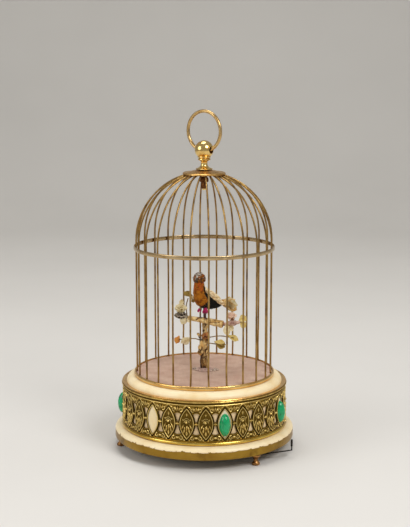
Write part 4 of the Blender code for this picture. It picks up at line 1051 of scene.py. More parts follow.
@dataclass(kw_only=True)
class Assembly:
    """Pieces that are made together; most of them are handed one slot name of the record."""

    shop: Workshop
    slot: ClassVar[str] = "gilt_brass"

    def add(self, name: str, shape: Shape, finish: object, slot: str = "",
            **settings: object) -> bpy.types.Object:
        """Makes a piece, handing the workshop the assembly's slot name or one that is named, and the
        settings.
        """
        return self.shop.piece(name, shape, finish, slot or self.slot, **settings)


# A darker, duller copy of the gilt for the plinth's lower edge and the bead's groove: olive with age, and
# darkened as painted shade.
GILT_EDGE = GiltBrass("gilt_brass_base", "#a98636", "#906d29", "#5a401a", roughness=0.3, patch_mm=12.0,
                      browned=0.2)
GILT_BASE_RING = GiltBrass("gilt_brass_base_ring", "#ecc680", "#d2a25c", "#8e6230", roughness=0.26,
                           patch_mm=14.0, browned=0.25)
GILT_WIRE = GiltBrass("gilt_brass_wire", "#b29055", "#876536", "#46301a", roughness=0.3, patch_mm=14.0,
                      browned=0.45)
GILT_BRIGHT = GiltBrass("gilt_brass_polished", "#eed28e", "#dcb264", "#946a31", roughness=0.13, patch_mm=5.0,
                        browned=0.15)
GILT_RING = GiltBrass("gilt_brass_ring", "#d8b880", "#b59057", "#7a5832", roughness=0.26)
GILT_CAP = GiltBrass("gilt_brass_cap", "#d9b06c", "#b58747", "#6b4723", roughness=0.34, patch_mm=4.0,
                     browned=0.4)
GILT_HOOP = GiltBrass("gilt_brass_hoop", "#cbb38a", "#a98b5e", "#6d5233", roughness=0.22, patch_mm=10.0,
                      browned=0.3)
GILT_FLANGE = GiltBrass("gilt_brass_flange", "#e6c565", "#c09a41", "#6f5220", roughness=0.2, patch_mm=14.0,
                        browned=0.2)
GILT_BEAD = GiltBrass("gilt_brass_bead", "#e6c470", "#bb964a", "#54401d", roughness=0.3, patch_mm=5.0,
                      browned=0.4)
GILT_FOOT = GiltBrass("gilt_brass_foot", "#c0905a", "#98693a", "#4b2f18", roughness=0.3, browned=0.45)
# Near-black brass for the grooves, the lines by the windows and the flange's corner: painted shade and dirt
# where the relief sinks.
GROOVE_SHADE_AND_DIRT = GiltBrass("painted_shade_and_dirt_in_grooves", "#3d2d14", "#2e210f", "#1a1209", roughness=0.6)
BROWNED = GiltBrass("browned_brass_nut", "#8d5a30", "#643c20", "#2c180d", roughness=0.5, patch_mm=2.0,
                    browned=0.6)
CREAM = CreamEnamel("oil_paint_cream")
# A darker, yellower copy of the cream for the wall seen through the windows: painted shade, with age and
# dirt.
CREAM_SHADED_AND_AGED = CreamEnamel("oil_paint_cream_shaded_and_aged", "#f0d2a2", "#d9b480", roughness=0.5)
CEMENT = CreamEnamel("pale_setting_cement", "#e9dcc0", "#cdbb95", roughness=0.7)
STONE = GreenStone("polished_green_stone", "#009a5a", "#12ae70", "#005c37")
PAPER = FloorPaper("laid_paper_pink")
PLAIN_STEEL = Steel("filed_steel")
BLUED_STEEL = Steel("blued_steel_wire", "#2b2522", "#151010", roughness=0.4)
BRASS_WORK = StampedBrass("milled_brass", wall_low=(0.0, 0.0), wall_high=(0.0, 1.0), hollow_mm=-1.0,
                          crest_mm=0.5, roughness=0.32)
LEATHER = KidLeather("kid_leather")
BOARD = BoardWood("pearwood_board")
BARK = PaintedBark("painted_bark_ochre", "#855c2b", "#d3b47a", "#38200e", hollow=0.5, flake_mm=3.2, grain=0.4)
BARK_BULGE = PaintedBark("painted_bark_streaked", "#c38d42", "#e6c688", "#3a2110", hollow=0.5, flake_mm=3.0,
                         grain=0.4)
TWIG = PaintedBark("painted_bark_twig", "#6f5730", "#93764a", "#3d2c18", hollow=0.6)
BARK_DARK = PaintedBark("painted_bark_dark", "#5f4020", "#8d6a3c", "#2b1a0e", hollow=0.45, grain=0.4)
BARK_PERCH = PaintedBark("painted_bark_cream", "#c59856", "#ebce92", "#653d1b", hollow=0.54)
BARK_MOTTLED = PaintedBark("painted_bark_mottled", "#33211c", "#cfc0a8", "#171011", hollow=0.5, flake_mm=1.6)
BARK_KNOB = PaintedBark("painted_bark_reddish", "#95562a", "#b57a45", "#40200f", hollow=0.52)
ROOT_PLASTER = PaintedBark("painted_plaster_root", "#a08074", "#bf9f92", "#6a4b40", hollow=0.6, flake_mm=3.0)
ROOT_CRUMB = PaintedBark("painted_plaster_crumb", "#9a8274", "#d6c2b0", "#42312a", hollow=0.56, flake_mm=2.2)
LEAF_OLIVE = CottonLeaf("starched_cotton_olive", "#8c7232", "#bd9f56")
LEAF_YELLOW = CottonLeaf("starched_cotton_yellow", "#c9a955", "#e3cf8e")
LEAF_ORANGE = CottonLeaf("starched_cotton_orange", "#c8742a", "#dda256")
LEAF_PALE = CottonLeaf("starched_cotton_pale", "#d6c18d", "#eee2bd")
PETAL_ROSE = CottonLeaf("starched_cotton_rose", "#d0a58c", "#f2d8bd")
PETAL_MAUVE = CottonLeaf("starched_cotton_mauve", "#8d645a", "#d8b7a4")
ORANGE_DOWN = Plumage("dyed_feather_orange", "#ad6a17", "#80440d", "#542e0b", patch_mm=3.2,
                      turn=(0.0, 1.1, 0.5))
FACE_DOWN = Plumage("dyed_feather_amber", "#a5651f", "#6b3a14", "#3a1e0c", patch_mm=1.6, turn=(0.0, 1.2, 0.4))
RED_DOWN = Plumage("dyed_feather_red", "#b55a1c", "#93361a", "#46190c", patch_mm=2.2, turn=(0.0, 1.2, 0.4))
BLACK_VANE = Plumage("natural_feather_black", "#15140f", "#25231b", "#0a0a08", turn=(0.0, 0.7, 0.5))
CREAM_DOWN = Plumage("natural_feather_cream", "#f9e6bb", "#edcb9c", "#bd9464", patch_mm=2.5,
                     turn=(0.0, 0.7, 0.5))
TAIL_VANE = Plumage("natural_feather_tail", "#e0bf80", "#c98f3d", "#8f5f22", patch_mm=4.5,
                    turn=(0.0, 0.5, 0.5))
TAIL_TIP = Plumage("natural_feather_tail_tip", "#d6c69c", "#bba77a", "#84704a", patch_mm=3.0,
                   turn=(0.0, 0.5, 0.5))
BROWN_DOWN = Plumage("natural_feather_brown", "#5a3f2c", "#7b5233", "#24170f", patch_mm=1.6,
                     turn=(0.0, 1.2, 1.1))
GREY_CROWN = Plumage("natural_feather_grey", "#b5aa9b", "#e0d8ca", "#4a3f37", patch_mm=1.3, barb_mm=0.6,
                     turn=(0.0, 1.2, 1.1))
CRIMSON_TUFT = Plumage("dyed_feather_crimson", "#b0265a", "#cf4479", "#5e1230", patch_mm=1.8)
HORN = PaintedHorn("painted_horn")
LEG_PAINT = PaintedHorn("painted_leg", "#5b2f22", "#2b150f")
JET_BEAD = JetBead("black_glass_bead")


@dataclass
class Feet(Assembly):
    """Three small turned feet."""

    height: float = 0.0087
    radius: float = 0.0038
    segments: int = 40

    def build(self) -> None:
        """Turns each foot where its solid stands."""
        shares = ((0, 0), (0.68, 0), (0.8, 0.03), (0.87, 0.1), (0.85, 0.2), (0.7, 0.3), (0.5, 0.38),
                  (0.43, 0.46), (0.44, 0.56), (0.6, 0.62), (0.63, 0.67), (0.56, 0.71), (0.78, 0.78),
                  (0.96, 0.83), (1.0, 0.88), (1.0, 0.99), (0.0, 0.99))
        profile = [(self.radius * radius, self.height * height) for radius, height in shares]
        for number in (1, 2, 3):
            low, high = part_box(f"foot_{number}")
            spot = ((low[0] + high[0]) / 2, (low[1] + high[1]) / 2)
            foot = upright(turned(profile, self.segments), spot)
            self.add(f"turned_foot_{number}", foot, GILT_FOOT, replaces=[f"foot_{number}"])


@dataclass
class Plinth(Assembly):
    """The turned ring under the drum: a gilt edge with a cream moulding over it."""

    bottom: float = 0.0090
    edge_top: float = 0.0154
    top: float = 0.0188
    radius: float = 0.0745
    inner_edge: float = 0.0692
    bore: float = 0.0640
    recess: float = 0.0661
    ledge: float = 0.0108
    segments: int = 224
    steps: int = 9

    def build(self) -> None:
        """Turns the plinth with a soft lower edge and a full round moulding."""
        profile = [(self.recess, self.bottom),
                   *section(self.radius, self.bottom, (-0.75, 0), (-0.2, 0.2), (0, 0.75)),
                   *quarter_round(self.inner_edge, self.edge_top, self.radius, self.top, self.steps),
                   (self.bore, self.top), (self.bore, self.ledge), (self.recess, self.ledge)]
        # The chipped metal takes the darker gilt, which holds painted shade for the plinth's lower edge.
        chipped = ChippedEnamel("oil_paint_cream_chipped", edge_height=self.edge_top - 0.0006, cream=CREAM,
                                gilt=GILT_EDGE)
        self.add("plinth_moulding", turned(profile, self.segments), chipped, "cream_enamel",
                 replaces=["plinth"], crease=50.0)


@dataclass
class Drum(Assembly):
    """The spun shell of the base: a cream wall behind the frieze and a cream rounded shoulder."""

    bottom: float = 0.0191
    shoulder_bottom: float = 0.0556
    shoulder_top: float = 0.0608
    foot_radius: float = 0.0671
    top_radius: float = 0.0662
    wall_height: float = 0.0350
    shoulder_radius: float = 0.0646
    rim_radius: float = 0.0586
    flange_radius: float = 0.0490
    wall: float = 0.0014
    segments: int = 224
    steps: int = 9

    @property
    def rise(self) -> float:
        """Height from the wall's foot to the shoulder."""
        return self.shoulder_bottom - self.bottom

    def build(self) -> None:
        """Turns the shell and the wall behind the frieze."""
        low = self.shoulder_bottom - self.wall
        under = self.shoulder_top - self.wall
        profile = [(self.shoulder_radius - self.wall, low), (self.shoulder_radius, low),
                   *quarter_round(self.rim_radius, self.shoulder_bottom, self.shoulder_radius,
                                  self.shoulder_top, self.steps),
                   (self.flange_radius, self.shoulder_top), (self.flange_radius, under),
                   (self.rim_radius, under)]
        self.add("drum_shell", turned(profile, self.segments), CREAM, "cream_enamel", replaces=["base_drum"])
        high = self.bottom + self.wall_height
        side = [(self.foot_radius - self.wall, self.bottom), (self.foot_radius, self.bottom),
                (self.top_radius, high), (self.top_radius - self.wall, high)]
        # The wall behind the windows takes the darker cream, as painted shade and age.
        self.add("drum_wall", turned(side, self.segments), CREAM_SHADED_AND_AGED, "cream_enamel")


@dataclass
class Frieze(Assembly):
    """The pressed brass band: 28 pointed ovals with pierced windows between them.

    Its ornament is drawn flat, with x along the band, y standing out from the wall and z up from the
    band's lower edge, and is then wrapped round the drum. The windows' corners are in millimetres from
    the gap's middle and from the waist.
    """

    slot: ClassVar[str] = "stamped_brass"
    drum: Drum
    count: int = 28
    seat_every: int = 4
    first_azimuth: float = 14.0
    lost_seat: int = 6
    reach: float = 0.0692
    clearance: float = 0.0003
    height: float = 0.0370
    flange: float = 0.0034
    bead: float = 0.0025
    middle: float = 0.0175
    stretch: float = 1.09
    field_top: float = 0.0328
    sheet: float = 0.0009
    hollow: float = 0.0007
    groove_width: float = 0.0070
    groove_height: float = 0.0141
    rim_width: float = 0.0056
    rim_height: float = 0.0122
    rim: float = 0.00042
    pearls_each: int = 11
    window_top: tuple = ((0.0, 1.3), (0.7, 1.4), (1.0, 3.0), (1.8, 5.4), (2.5, 7.1), (1.4, 7.8), (0.0, 8.0))
    window_foot: tuple = ((0.0, 1.3), (0.7, 1.4), (1.0, 3.0), (1.9, 5.4), (2.7, 7.0), (1.8, 7.8), (0.0, 8.0))

    @property
    def half_pitch(self) -> float:
        """Half the arc from one oval to the next."""
        return math.pi * self.reach / self.count

    def wall_radius(self, height: float) -> float:
        """The radius of the band's back, at a height above its lower edge."""
        taper = self.drum.top_radius - self.drum.foot_radius
        return self.drum.foot_radius + taper * height / self.drum.rise + self.clearance

    def wrapped(self, shape: Shape, oval: int) -> Shape:
        """Bends a flat drawing round the drum at an oval's place.

        Args:
            shape: the flat drawing.
            oval: the oval's number, from the first seat.

        Returns:
            The same shape, in place.
        """
        first = math.radians(self.first_azimuth) + math.tau * oval / self.count
        for vert in shape.verts:
            along, out, height = vert.co
            angle = first + along / self.reach
            radius = self.wall_radius(height) + out
            vert.co = (math.sin(angle) * radius, -math.cos(angle) * radius, self.drum.bottom + height)
        return shape

    def all_round(self, cell: Callable[[], Shape], ovals: Sequence[int]) -> Shape:
        """Draws a flat cell at several ovals round the drum, in one shape."""
        return joined([self.wrapped(cell(), oval) for oval in ovals])

    def spot(self, x: float, z: float, out: float = 0.0, origin: float = 0.0) -> Point:
        """A point, from millimetres along, above the middles and off the face, and an origin in metres."""
        return origin + x / 1000, self.sheet + out / 1000, self.middle + z / 1000

    def oval_side(self, width: float, height: float, steps: int = 12) -> Outline:
        """The right side of a pointed oval of half a width and half a height, as (x, height) points."""
        shares = [1 - 2 * step / steps for step in range(steps + 1)]
        return [(width * (1 - share**2), self.middle + height * share) for share in shares]

    def oval_loop(self, width: float, height: float) -> Outline:
        """The outline of a pointed oval of half a width and half a height, as (x, height) points."""
        side = self.oval_side(width, height)
        return side + [(-x, z) for x, z in reversed(side[1:-1])]

    def plate(self, loops: Sequence[Sequence[tuple[float, float]]], low: float, high: float) -> Shape:
        """A flat plate of the wall, with holes.

        Args:
            loops: its outline and then its holes, as (x, height) points.
            low: how far its back stands out.
            high: how far its face stands out.

        Returns:
            The plate, with its thickness.
        """
        bm = bmesh.new()
        edges = []
        for loop in loops:
            verts = [bm.verts.new((x, low, z)) for x, z in loop]
            edges += [bm.edges.new(pair) for pair in zip(verts, [*verts[1:], verts[0]])]
        bmesh.ops.triangle_fill(bm, use_beauty=True, edges=edges, normal=(0, -1, 0))
        for quarter in range(-3, 4):
            bmesh.ops.bisect_plane(bm, geom=bm.verts[:] + bm.edges[:] + bm.faces[:],
                                   plane_co=(self.half_pitch * quarter / 4, 0, 0), plane_no=(1, 0, 0))
        bmesh.ops.recalc_face_normals(bm, faces=bm.faces)
        top = bmesh.ops.extrude_face_region(bm, geom=bm.faces[:], use_keep_orig=True)["geom"]
        raised = [item for item in top if isinstance(item, bmesh.types.BMVert)]
        bmesh.ops.translate(bm, verts=raised, vec=(0, high - low, 0))
        bmesh.ops.recalc_face_normals(bm, faces=bm.faces)
        return bm

    def sheet_cell(self) -> Shape:
        """The flat sheet round one oval's opening, with half a window at each side.

        Returns:
            The sheet.
        """
        right = [(self.half_pitch, self.flange)]
        for way, corners in ((-1, reversed(self.window_foot)), (1, self.window_top)):
            right += [(self.half_pitch - x / 1000, self.middle + way * z / 1000 * self.stretch) for x,
                      z in corners]
        right.append((self.half_pitch, self.field_top))
        outline = right + [(-x, z) for x, z in reversed(right)]
        return self.plate([outline, self.oval_loop(self.groove_width, self.groove_height)], 0.0, self.sheet)

    def oval_ring(self, inner: float, outer: float, low: float, high: float) -> Shape:
        """A flat ring of the wall between two ovals.

        Args:
            inner: how far its hole lies inside the rim's line.
            outer: how far its edge lies outside the rim's line.
            low: how far its back stands out.
            high: how far its face stands out.

        Returns:
            The ring.
        """
        loops = [self.oval_loop(self.rim_width + away, self.rim_height + away * 1.5)
                 for away in (outer, -inner)]
        return self.plate(loops, low, high)

    def rim_cell(self) -> Shape:
        """The raised rim inside one oval's groove: a low wall with a bar along the top of each side.

        Returns:
            The rim.
        """
        side = self.oval_side(self.rim_width, self.rim_height)
        bars = [tube([(way * x, self.sheet, z) for x, z in side], self.rim, 6) for way in (1, -1)]
        return joined([self.oval_ring(0.0003, 0.0004, 0.0001, self.sheet - 0.0001), *bars])

    def pressed_leaf(self, x: float, z: float, heading: float, length: float, width: float,
                     origin: float = 0.0) -> Shape:
        """A small leaf in relief on the flat sheet.

        Args:
            x: millimetres from the origin to its root, along the band.
            z: millimetres from the ovals' middles up to its root.
            heading: where it points, in degrees from straight up towards +X.
            length: from root to tip, in millimetres.
            width: at its widest, in millimetres.
            origin: where x starts, in metres.

        Returns:
            The leaf.
        """
        turn = math.radians(heading)
        ahead = Vector((math.sin(turn), 0.0, math.cos(turn)))
        out = Vector((0.0, 1.0, 0.0))
        leaf = blade(length / 1000, width / 1000, 0.0005, along=5, across=2, cup=-0.0005, curl=0.0004,
                     point=0.5, root=0.4)
        place = Matrix.Translation(self.spot(x, z, 0.4, origin))
        return moved(leaf, place @ axes(ahead, out.cross(ahead), out))

    def arch(self, z: float, reach: float, thickness: float) -> Shape:
        """A small bar that arches over a point of the oval's middle line.

        Args:
            z: the point's millimetres above the oval's middle.
            reach: the arch's radius, in millimetres.
            thickness: the bar's radius, in millimetres.

        Returns:
            The arch.
        """
        angles = [math.radians(degrees) for degrees in range(-80, 81, 20)]
        path = [self.spot(reach * math.sin(angle), z + reach * math.cos(angle), 0.1) for angle in angles]
        return tube(path, thickness / 1000, 5)

    def taller(self, shape: Shape) -> Shape:
        """Stretches an ornament up and down from the ovals' middles.

        Args:
            shape: the ornament.

        Returns:
            The same shape, stretched.
        """
        centre = Matrix.Translation((0, 0, -self.middle))
        bmesh.ops.scale(shape, verts=shape.verts, vec=(1, 1, self.stretch), space=centre)
        return shape

    def leaf_cell(self) -> Shape:
        """The embossed ornament inside one oval: a hooded boss over a tulip of lobed leaves.

        Returns:
            The ornament.
        """
        parts = []
        for heading, x, z, length, width in (
            (0, 0, 5.2, 3.0, 1.7), (180, 0, -4.6, 4.0, 2.0), (164, 1.1, -1.8, 6.0, 1.6),
            (150, 1.9, 0.2, 5.0, 1.4), (186, 0.4, -2.0, 3.0, 1.2),
        ):
            parts.append(self.pressed_leaf(x, z, heading, length, width))
            if x:
                parts.append(self.pressed_leaf(-x, z, -heading, length, width))
        for side in (-1, 1):
            hood = [self.spot(side * x, z, -0.2) for x, z in ((2.1, 5.4), (1.3, 7.4), (0, 8.9))]
            parts.append(tube(hood, 0.0003, 5))
            parts.append(ball(self.spot(side * 1.7, -3.2, -0.2), mm(0.7, 1.0, 1.1), around=8, rings=5))
            parts.append(ball(self.spot(side * 3.0, 3.0, -0.2), mm(0.5, 0.9, 0.8), around=8, rings=5))
        parts += [self.arch(1.8, 2.4, 0.3), self.arch(0.6, 2.1, 0.36)]
        parts.append(ball(self.spot(-0.3, 1.2, -0.2), mm(1.2, 1.5, 1.0), around=10, rings=7))
        parts.append(ball(self.spot(0.3, -2.4, -0.2), mm(0.9, 1.3, 1.3), around=8, rings=6))
        parts.append(ball(self.spot(0, -6.6, -0.2), mm(0.6, 1.1, 0.8), around=8, rings=5))
        return self.taller(joined(parts))

    def scroll(self, side: int, way: int) -> Shape:
        """One C-shaped scroll beside the gap between two ovals.

        Args:
            side: 1 for the right and -1 for the left of the gap.
            way: 1 for the upper and -1 for the lower edge.

        Returns:
            The scroll.
        """
        shares = [step / 12 for step in range(13)]
        path = []
        for share in shares:
            angle = math.radians(-100 + 340 * share)
            radius = 1.9 * (1 - 0.72 * share)
            x = 2.8 + radius * math.cos(angle)
            z = 10.6 + radius * math.sin(angle) * 0.85
            path.append(self.spot(side * x, way * z, 0.1, self.half_pitch))
        return tube(path, [0.00046 * (1 - 0.3 * share) for share in shares], 5)

    def groove_cell(self) -> Shape:
        """The groove round one oval and the lines by the gap's windows, painted dark as shade and dirt.

        Returns:
            The dark pieces of painted shade and dirt.
        """
        gap = self.half_pitch
        parts = []
        for way, wide in ((1, 2.4), (-1, 3.0)):
            shares = [step / 3 - 1 for step in range(7)]
            line = [self.spot(wide * share, way * (9.1 - 0.8 * share**2), -0.3, gap) for share in shares]
            parts.append(tube(line, 0.0005, 5))
            for side in (-1, 1):
                turns = [(0.9 * math.cos(angle), 0.9 * math.sin(angle))
                         for angle in (0.0, 1.3, 2.6, 3.9, 5.2)]
                curl = [self.spot(side * (2.8 + x), way * (10.6 + z), -0.3, gap) for x, z in turns]
                parts.append(tube(curl, 0.00045, 5))
        for side in (-1, 1):
            parts.append(ball(self.spot(side * 0.9, 12.4, -0.3, gap), mm(0.6, 0.6, 0.8), around=8, rings=5))
        return joined([self.oval_ring(0.0001, 0.0016, 0.0001, 0.0003), self.taller(joined(parts))])

    def gap_cell(self) -> Shape:
        """The raised ornament between two ovals: scrolls, palmettes and the beads at the waist.

        Returns:
            The ornament.
        """
        gap = self.half_pitch
        parts = [self.scroll(side, way) for side in (-1, 1) for way in (-1, 1)]
        for x, size in ((0, 0.6), (-1.0, 0.5), (1.0, 0.5)):
            parts.append(ball(self.spot(x, 0, 0, gap), mm(size, 1.0, size * 1.2), around=8, rings=6))
        parts.append(ball(self.spot(0, -10.2, -0.2, gap), mm(1.6, 0.8, 0.8), around=8, rings=5))
        for side in (-1, 0, 1):
            parts.append(self.pressed_leaf(side * 0.4, 9.4, side * 38, 3.6, 1.5, gap))
        for side in (-1, 1):
            parts.append(self.pressed_leaf(side * 4.4, 11.8, side * 64, 2.6, 1.2, gap))
            parts.append(self.pressed_leaf(side * 4.4, -11.2, 180 - side * 60, 2.4, 1.1, gap))
            tip = gap - side * gap
            bar = [self.spot(side * x, z, 0, tip) for x, z in ((0, 13.7), (1.8, 12.8), (3.2, 11.3))]
            parts.append(tube(bar, 0.0004, 5))
        return self.taller(joined(parts))

    def build(self) -> None:
        """Makes the sheet, the rims and the ornament, and then the turned lines."""
        ovals = list(range(self.count))
        leaves = [oval for oval in ovals if oval % self.seat_every]
        base, top = self.drum.bottom, self.drum.bottom + self.height
        brass = StampedBrass("pressed_brass", wall_low=(self.wall_radius(0.0), base),
                             wall_high=(self.wall_radius(self.height), top), hollow_mm=0.5, crest_mm=1.5)
        sheet = self.all_round(self.sheet_cell, ovals)
        bmesh.ops.remove_doubles(sheet, verts=sheet.verts, dist=1e-6)
        self.add("frieze_sheet", sheet, brass, replaces=["frieze_band"], crease=30.0)
        # The oval fields sit low over the wall, so the pressed brass paints them with its dark hollow colour
        # as shade and dirt.
        oval_field = partial(self.plate, [self.oval_loop(self.rim_width, self.rim_height)], 0.0, self.hollow)
        self.add("frieze_oval_fields", self.all_round(oval_field, leaves), brass, crease=30.0)
        for name, cell, places, finish in (
            ("frieze_oval_rims", self.rim_cell, ovals, brass),
            ("frieze_grooves", self.groove_cell, ovals, GROOVE_SHADE_AND_DIRT),
            ("frieze_leaves", self.leaf_cell, leaves, brass),
            ("frieze_scrolls", self.gap_cell, ovals, brass),
        ):
            self.add(name, self.all_round(cell, places), finish)
        for name, profile, finish in (*self.field_lines(brass), *self.edge_lines()):
            self.add(name, turned(profile, self.drum.segments), finish)
        self.build_pearls()

    def field_lines(self, brass: StampedBrass) -> list[tuple]:
        """Draws the channel over the ovals, the line under it and the painted shade and dirt in the flange's
        corner.

        Args:
            brass: the finish of the pressed sheet.

        Returns:
            The name, section and finish of each.
        """
        wall, foot = self.wall_radius(self.field_top), self.drum.bottom + self.field_top
        head = self.height - self.bead
        channel = [*section(wall, foot, (0, -0.1), (1.0, -0.1), (1.0, 0.3), (0.6, 0.7)),
                   *section(self.wall_radius(head), self.drum.bottom + head, (0.6, 0), (0, 0))]
        line = section(wall, foot, (0.5, -0.5), (1.2, -0.4), (1.4, -0.1), (1.2, 0.2), (0.5, 0.2))
        face = self.sheet * 1000 + 0.1
        corner = section(self.wall_radius(self.flange), self.drum.bottom, (0, 4.1), (face, 4.1), (face, 4.6),
                         (0, 4.6))
        return [("frieze_channel", channel, brass), ("frieze_upper_line", line, brass),
                ("flange_corner_shade_and_dirt", corner, GROOVE_SHADE_AND_DIRT)]

    def edge_lines(self) -> list[tuple]:
        """Draws the smooth flange below and the moulded bead, groove and fillet above.

        Returns:
            The name, section and finish of each.
        """
        base = self.drum.bottom
        flange = [(self.wall_radius(0.0), base),
                  *section(self.reach, base, (-1.0, 0), (-0.3, 0.5), (0, 1.3), (-0.2, 2.1), (-0.8, 2.8),
                           (-1.4, 3.0), (-1.3, 3.4), (-1.5, 3.8), (-1.9, 4.0)),
                  (self.wall_radius(self.flange), base + 0.0040)]
        top = base + self.height
        low = top - self.bead
        wall = self.wall_radius(self.height)
        bead = section(wall, low, (0, 0), (1.3, 0), (1.6, 0.3), (2.2, 0.6), (2.3, 1.0), (2.0, 1.4), (0, 1.4))
        groove = section(wall, low, (0, 1.41), (1.3, 1.41), (1.3, 1.8), (0, 1.8))
        inner = self.drum.shoulder_radius - 0.0003
        fillet = [(inner, low + 0.00181), *section(wall, low, (1.7, 1.81), (1.9, 2.1)),
                  *section(wall, top, (1.6, 0), (0.6, 0), (0.2, -0.4)), (inner, top - 0.0004)]
        return [("frieze_flange", flange, GILT_FLANGE), ("frieze_bead", bead, GILT_BEAD),
                ("bead_groove", groove, GILT_EDGE), ("frieze_fillet", fillet, GILT_BASE_RING)]

    def build_pearls(self) -> None:
        """Sets the row of fine beads along the upper edge."""
        count = self.count * self.pearls_each
        row = self.wall_radius(self.height) + 0.0018
        height = self.drum.bottom + self.height - self.bead + 0.0008
        pearls = []
        for number in range(count):
            angle = math.tau * number / count
            spot = (row * math.sin(angle), -row * math.cos(angle), height)
            pearls.append(ball(spot, mm(0.55, 0.55, 0.7), around=6, rings=4))
        self.add("frieze_pearls", joined(pearls), GILT_BEAD, "stamped_brass")


@dataclass
class Stones(Assembly):
    """Six polished cabochons in the seats; one seat is empty."""

    frieze: Frieze
    half_width: float = 0.0045
    half_height: float = 0.0091
    bed: float = 0.0004
    proud: float = 0.0038
    drop: float = 0.0010

    def build(self) -> None:
        """Lays the beds, and a domed stone in each seat that has one."""
        frieze, drum = self.frieze, self.frieze.drum
        seats = frieze.count // frieze.seat_every
        kept = [seat for seat in range(seats) if seat != frieze.lost_seat]
        outline = [frieze.oval_loop(frieze.rim_width, frieze.rim_height)]
        for name, places, finish, thickness in (
            ("stone_beds", kept, CEMENT, frieze.sheet - 0.0002),
            ("empty_seat_bed", [frieze.lost_seat], CREAM, 0.0003),
        ):
            beds = frieze.all_round(partial(frieze.plate, outline, 0.0, thickness),
                                    [seat * frieze.seat_every for seat in places])
            self.add(name, beds, finish, "green_stone", crease=30.0)
        back = frieze.wall_radius(frieze.middle) + self.bed
        depth = self.proud + 0.0016 - self.bed
        height = drum.bottom + frieze.middle - self.drop
        lean = math.degrees(math.atan((drum.foot_radius - drum.top_radius) / drum.rise))
        for number, seat in enumerate(kept, 1):
            azimuth = frieze.first_azimuth + 360 * seat / seats
            stone = ball((0, 0, 0), (self.half_width, depth, self.half_height), around=40, rings=24)
            place = Matrix.Translation(direction(azimuth) * back + Vector((0, 0, height)))
            place = place @ rotation(azimuth, "Z") @ rotation(-lean, "X")
            stone = moved(sliced(stone, (0, 0, 0), (0, 1, 0)), place)
            self.add(f"stone_{number}", stone, STONE, "green_stone", replaces=[f"cabochon_{number}"])


@dataclass
class Cage(Assembly):
    """Paper floor, base ring, 24 wires, hoop and cap."""

    floor_low: float = 0.0611
    floor_top: float = 0.0633
    floor_hole: float = 0.0023
    wire_bottom: float = 0.0636
    dome_centre: float = 0.1730
    wire_circle: float = 0.0558
    wire_radius: float = 0.00075
    wire_end: float = 0.0110
    wire_count: int = 24
    post_steps: int = 14
    dome_steps: int = 18
    first_azimuth: float = 3.8
    inner: float = 0.05685
    ring_radius: float = 0.0583
    ring_height: float = 0.0032
    hoop_middle: float = 0.1674
    hoop_height: float = 0.0033
    hoop_wall: float = 0.00115
    cap_radius: float = 0.0176
    seed: int = 7

    def build(self) -> None:
        """Makes the cage's pieces."""
        self.build_floor()
        self.build_rings()
        self.build_wires()
        self.build_cap()

    def build_floor(self) -> None:
        """Turns the paper-covered disc, with its hole under the tree."""
        edge = self.inner - 0.0003
        profile = [(self.floor_hole, self.floor_low), (edge, self.floor_low),
                   *section(edge, self.floor_top, (0, -0.4), (-0.4, 0)), (edge * 0.5, self.floor_top),
                   (self.floor_hole, self.floor_top)]
        self.add("paper_floor", turned(profile, 128), PAPER, "pink_paper", replaces=["cage_floor"])

    def build_rings(self) -> None:
        """Turns the base ring and the hoop."""
        low, high = self.floor_low, self.floor_low + self.ring_height
        base = [(self.inner, low), *section(self.ring_radius, low, (-0.2, 0), (0, 0.3)),
                *section(self.ring_radius, high, (0, -1.3), (-0.2, -0.6), (-0.6, -0.1)),
                *section(self.inner, high, (0.4, 0), (0, -0.2))]
        self.add("base_ring", turned(base, 192), GILT_BASE_RING, replaces=["cage_base_ring"])
        low, high = self.hoop_middle - self.hoop_height / 2, self.hoop_middle + self.hoop_height / 2
        outer = self.inner + self.hoop_wall
        hoop = rounded([(self.inner, low), *section(outer, low, (-0.2, 0), (0, 0.9)),
                        *section(outer, high, (0, -0.9), (-0.2, 0)), (self.inner, high)])
        self.add("wire_hoop", turned(hoop, 192), GILT_HOOP, replaces=["cage_hoop"])

    def build_wires(self) -> None:
        """Bends each wire, with the small unevenness of handwork."""
        dice = random.Random(self.seed)
        last = math.acos(self.wire_end / self.wire_circle)
        for number in range(1, self.wire_count + 1):
            azimuth = self.first_azimuth + 360 * (number - 1) / self.wire_count
            sway = dice.uniform(-0.5, 0.5)
            low_bend = dice.uniform(-0.9, 0.9)
            path = []
            for step in range(self.post_steps + 1):
                share = step / self.post_steps
                height = self.wire_bottom + (self.dome_centre - self.wire_bottom) * share
                fade = math.sin(math.pi * min(share * 1.08, 1.0))
                bend = sway * fade + low_bend * math.exp(-((share - 0.13) / 0.09) ** 2)
                path.append(direction(azimuth + bend * 0.6) * self.wire_circle + Vector((0, 0, height)))
            for step in range(1, self.dome_steps + 1):
                angle = last * step / self.dome_steps
                ahead = direction(azimuth) * self.wire_circle * math.cos(angle)
                path.append((ahead.x, ahead.y, self.dome_centre + self.wire_circle * math.sin(angle)))
            self.add(f"dome_wire_{number:02d}", tube(path, self.wire_radius), GILT_WIRE,
                     replaces=[f"wire_{number:02d}"])

    def build_cap(self) -> None:
        """Turns the shallow cap with its raised rim."""
        under, over = self.inner, self.inner + 0.0012

        def on_dome(radius: float, reach: float) -> tuple[float, float]:
            """A point of the section on one of the dome's two skins."""
            return radius, self.dome_centre + math.sqrt(reach**2 - radius**2)

        edge = self.cap_radius
        profile = [on_dome(radius, under) for radius in (0.0019, 0.006, 0.011, edge - 0.001)]
        profile += section(edge, profile[-1][1], (-0.3, -0.1), (0, 0.4), (-0.1, 1.0), (-0.7, 1.5),
                           (-1.3, 1.3), (-1.7, 1.0))
        profile += [(radius, on_dome(radius, over)[1] - 0.0003) for radius in (edge - 0.0026, 0.012)]
        profile += [on_dome(radius, over) for radius in (0.0095, 0.0072, 0.004, 0.0019)]
        self.add("dome_cap", turned(profile, 96), GILT_CAP, replaces=["cage_cap"])


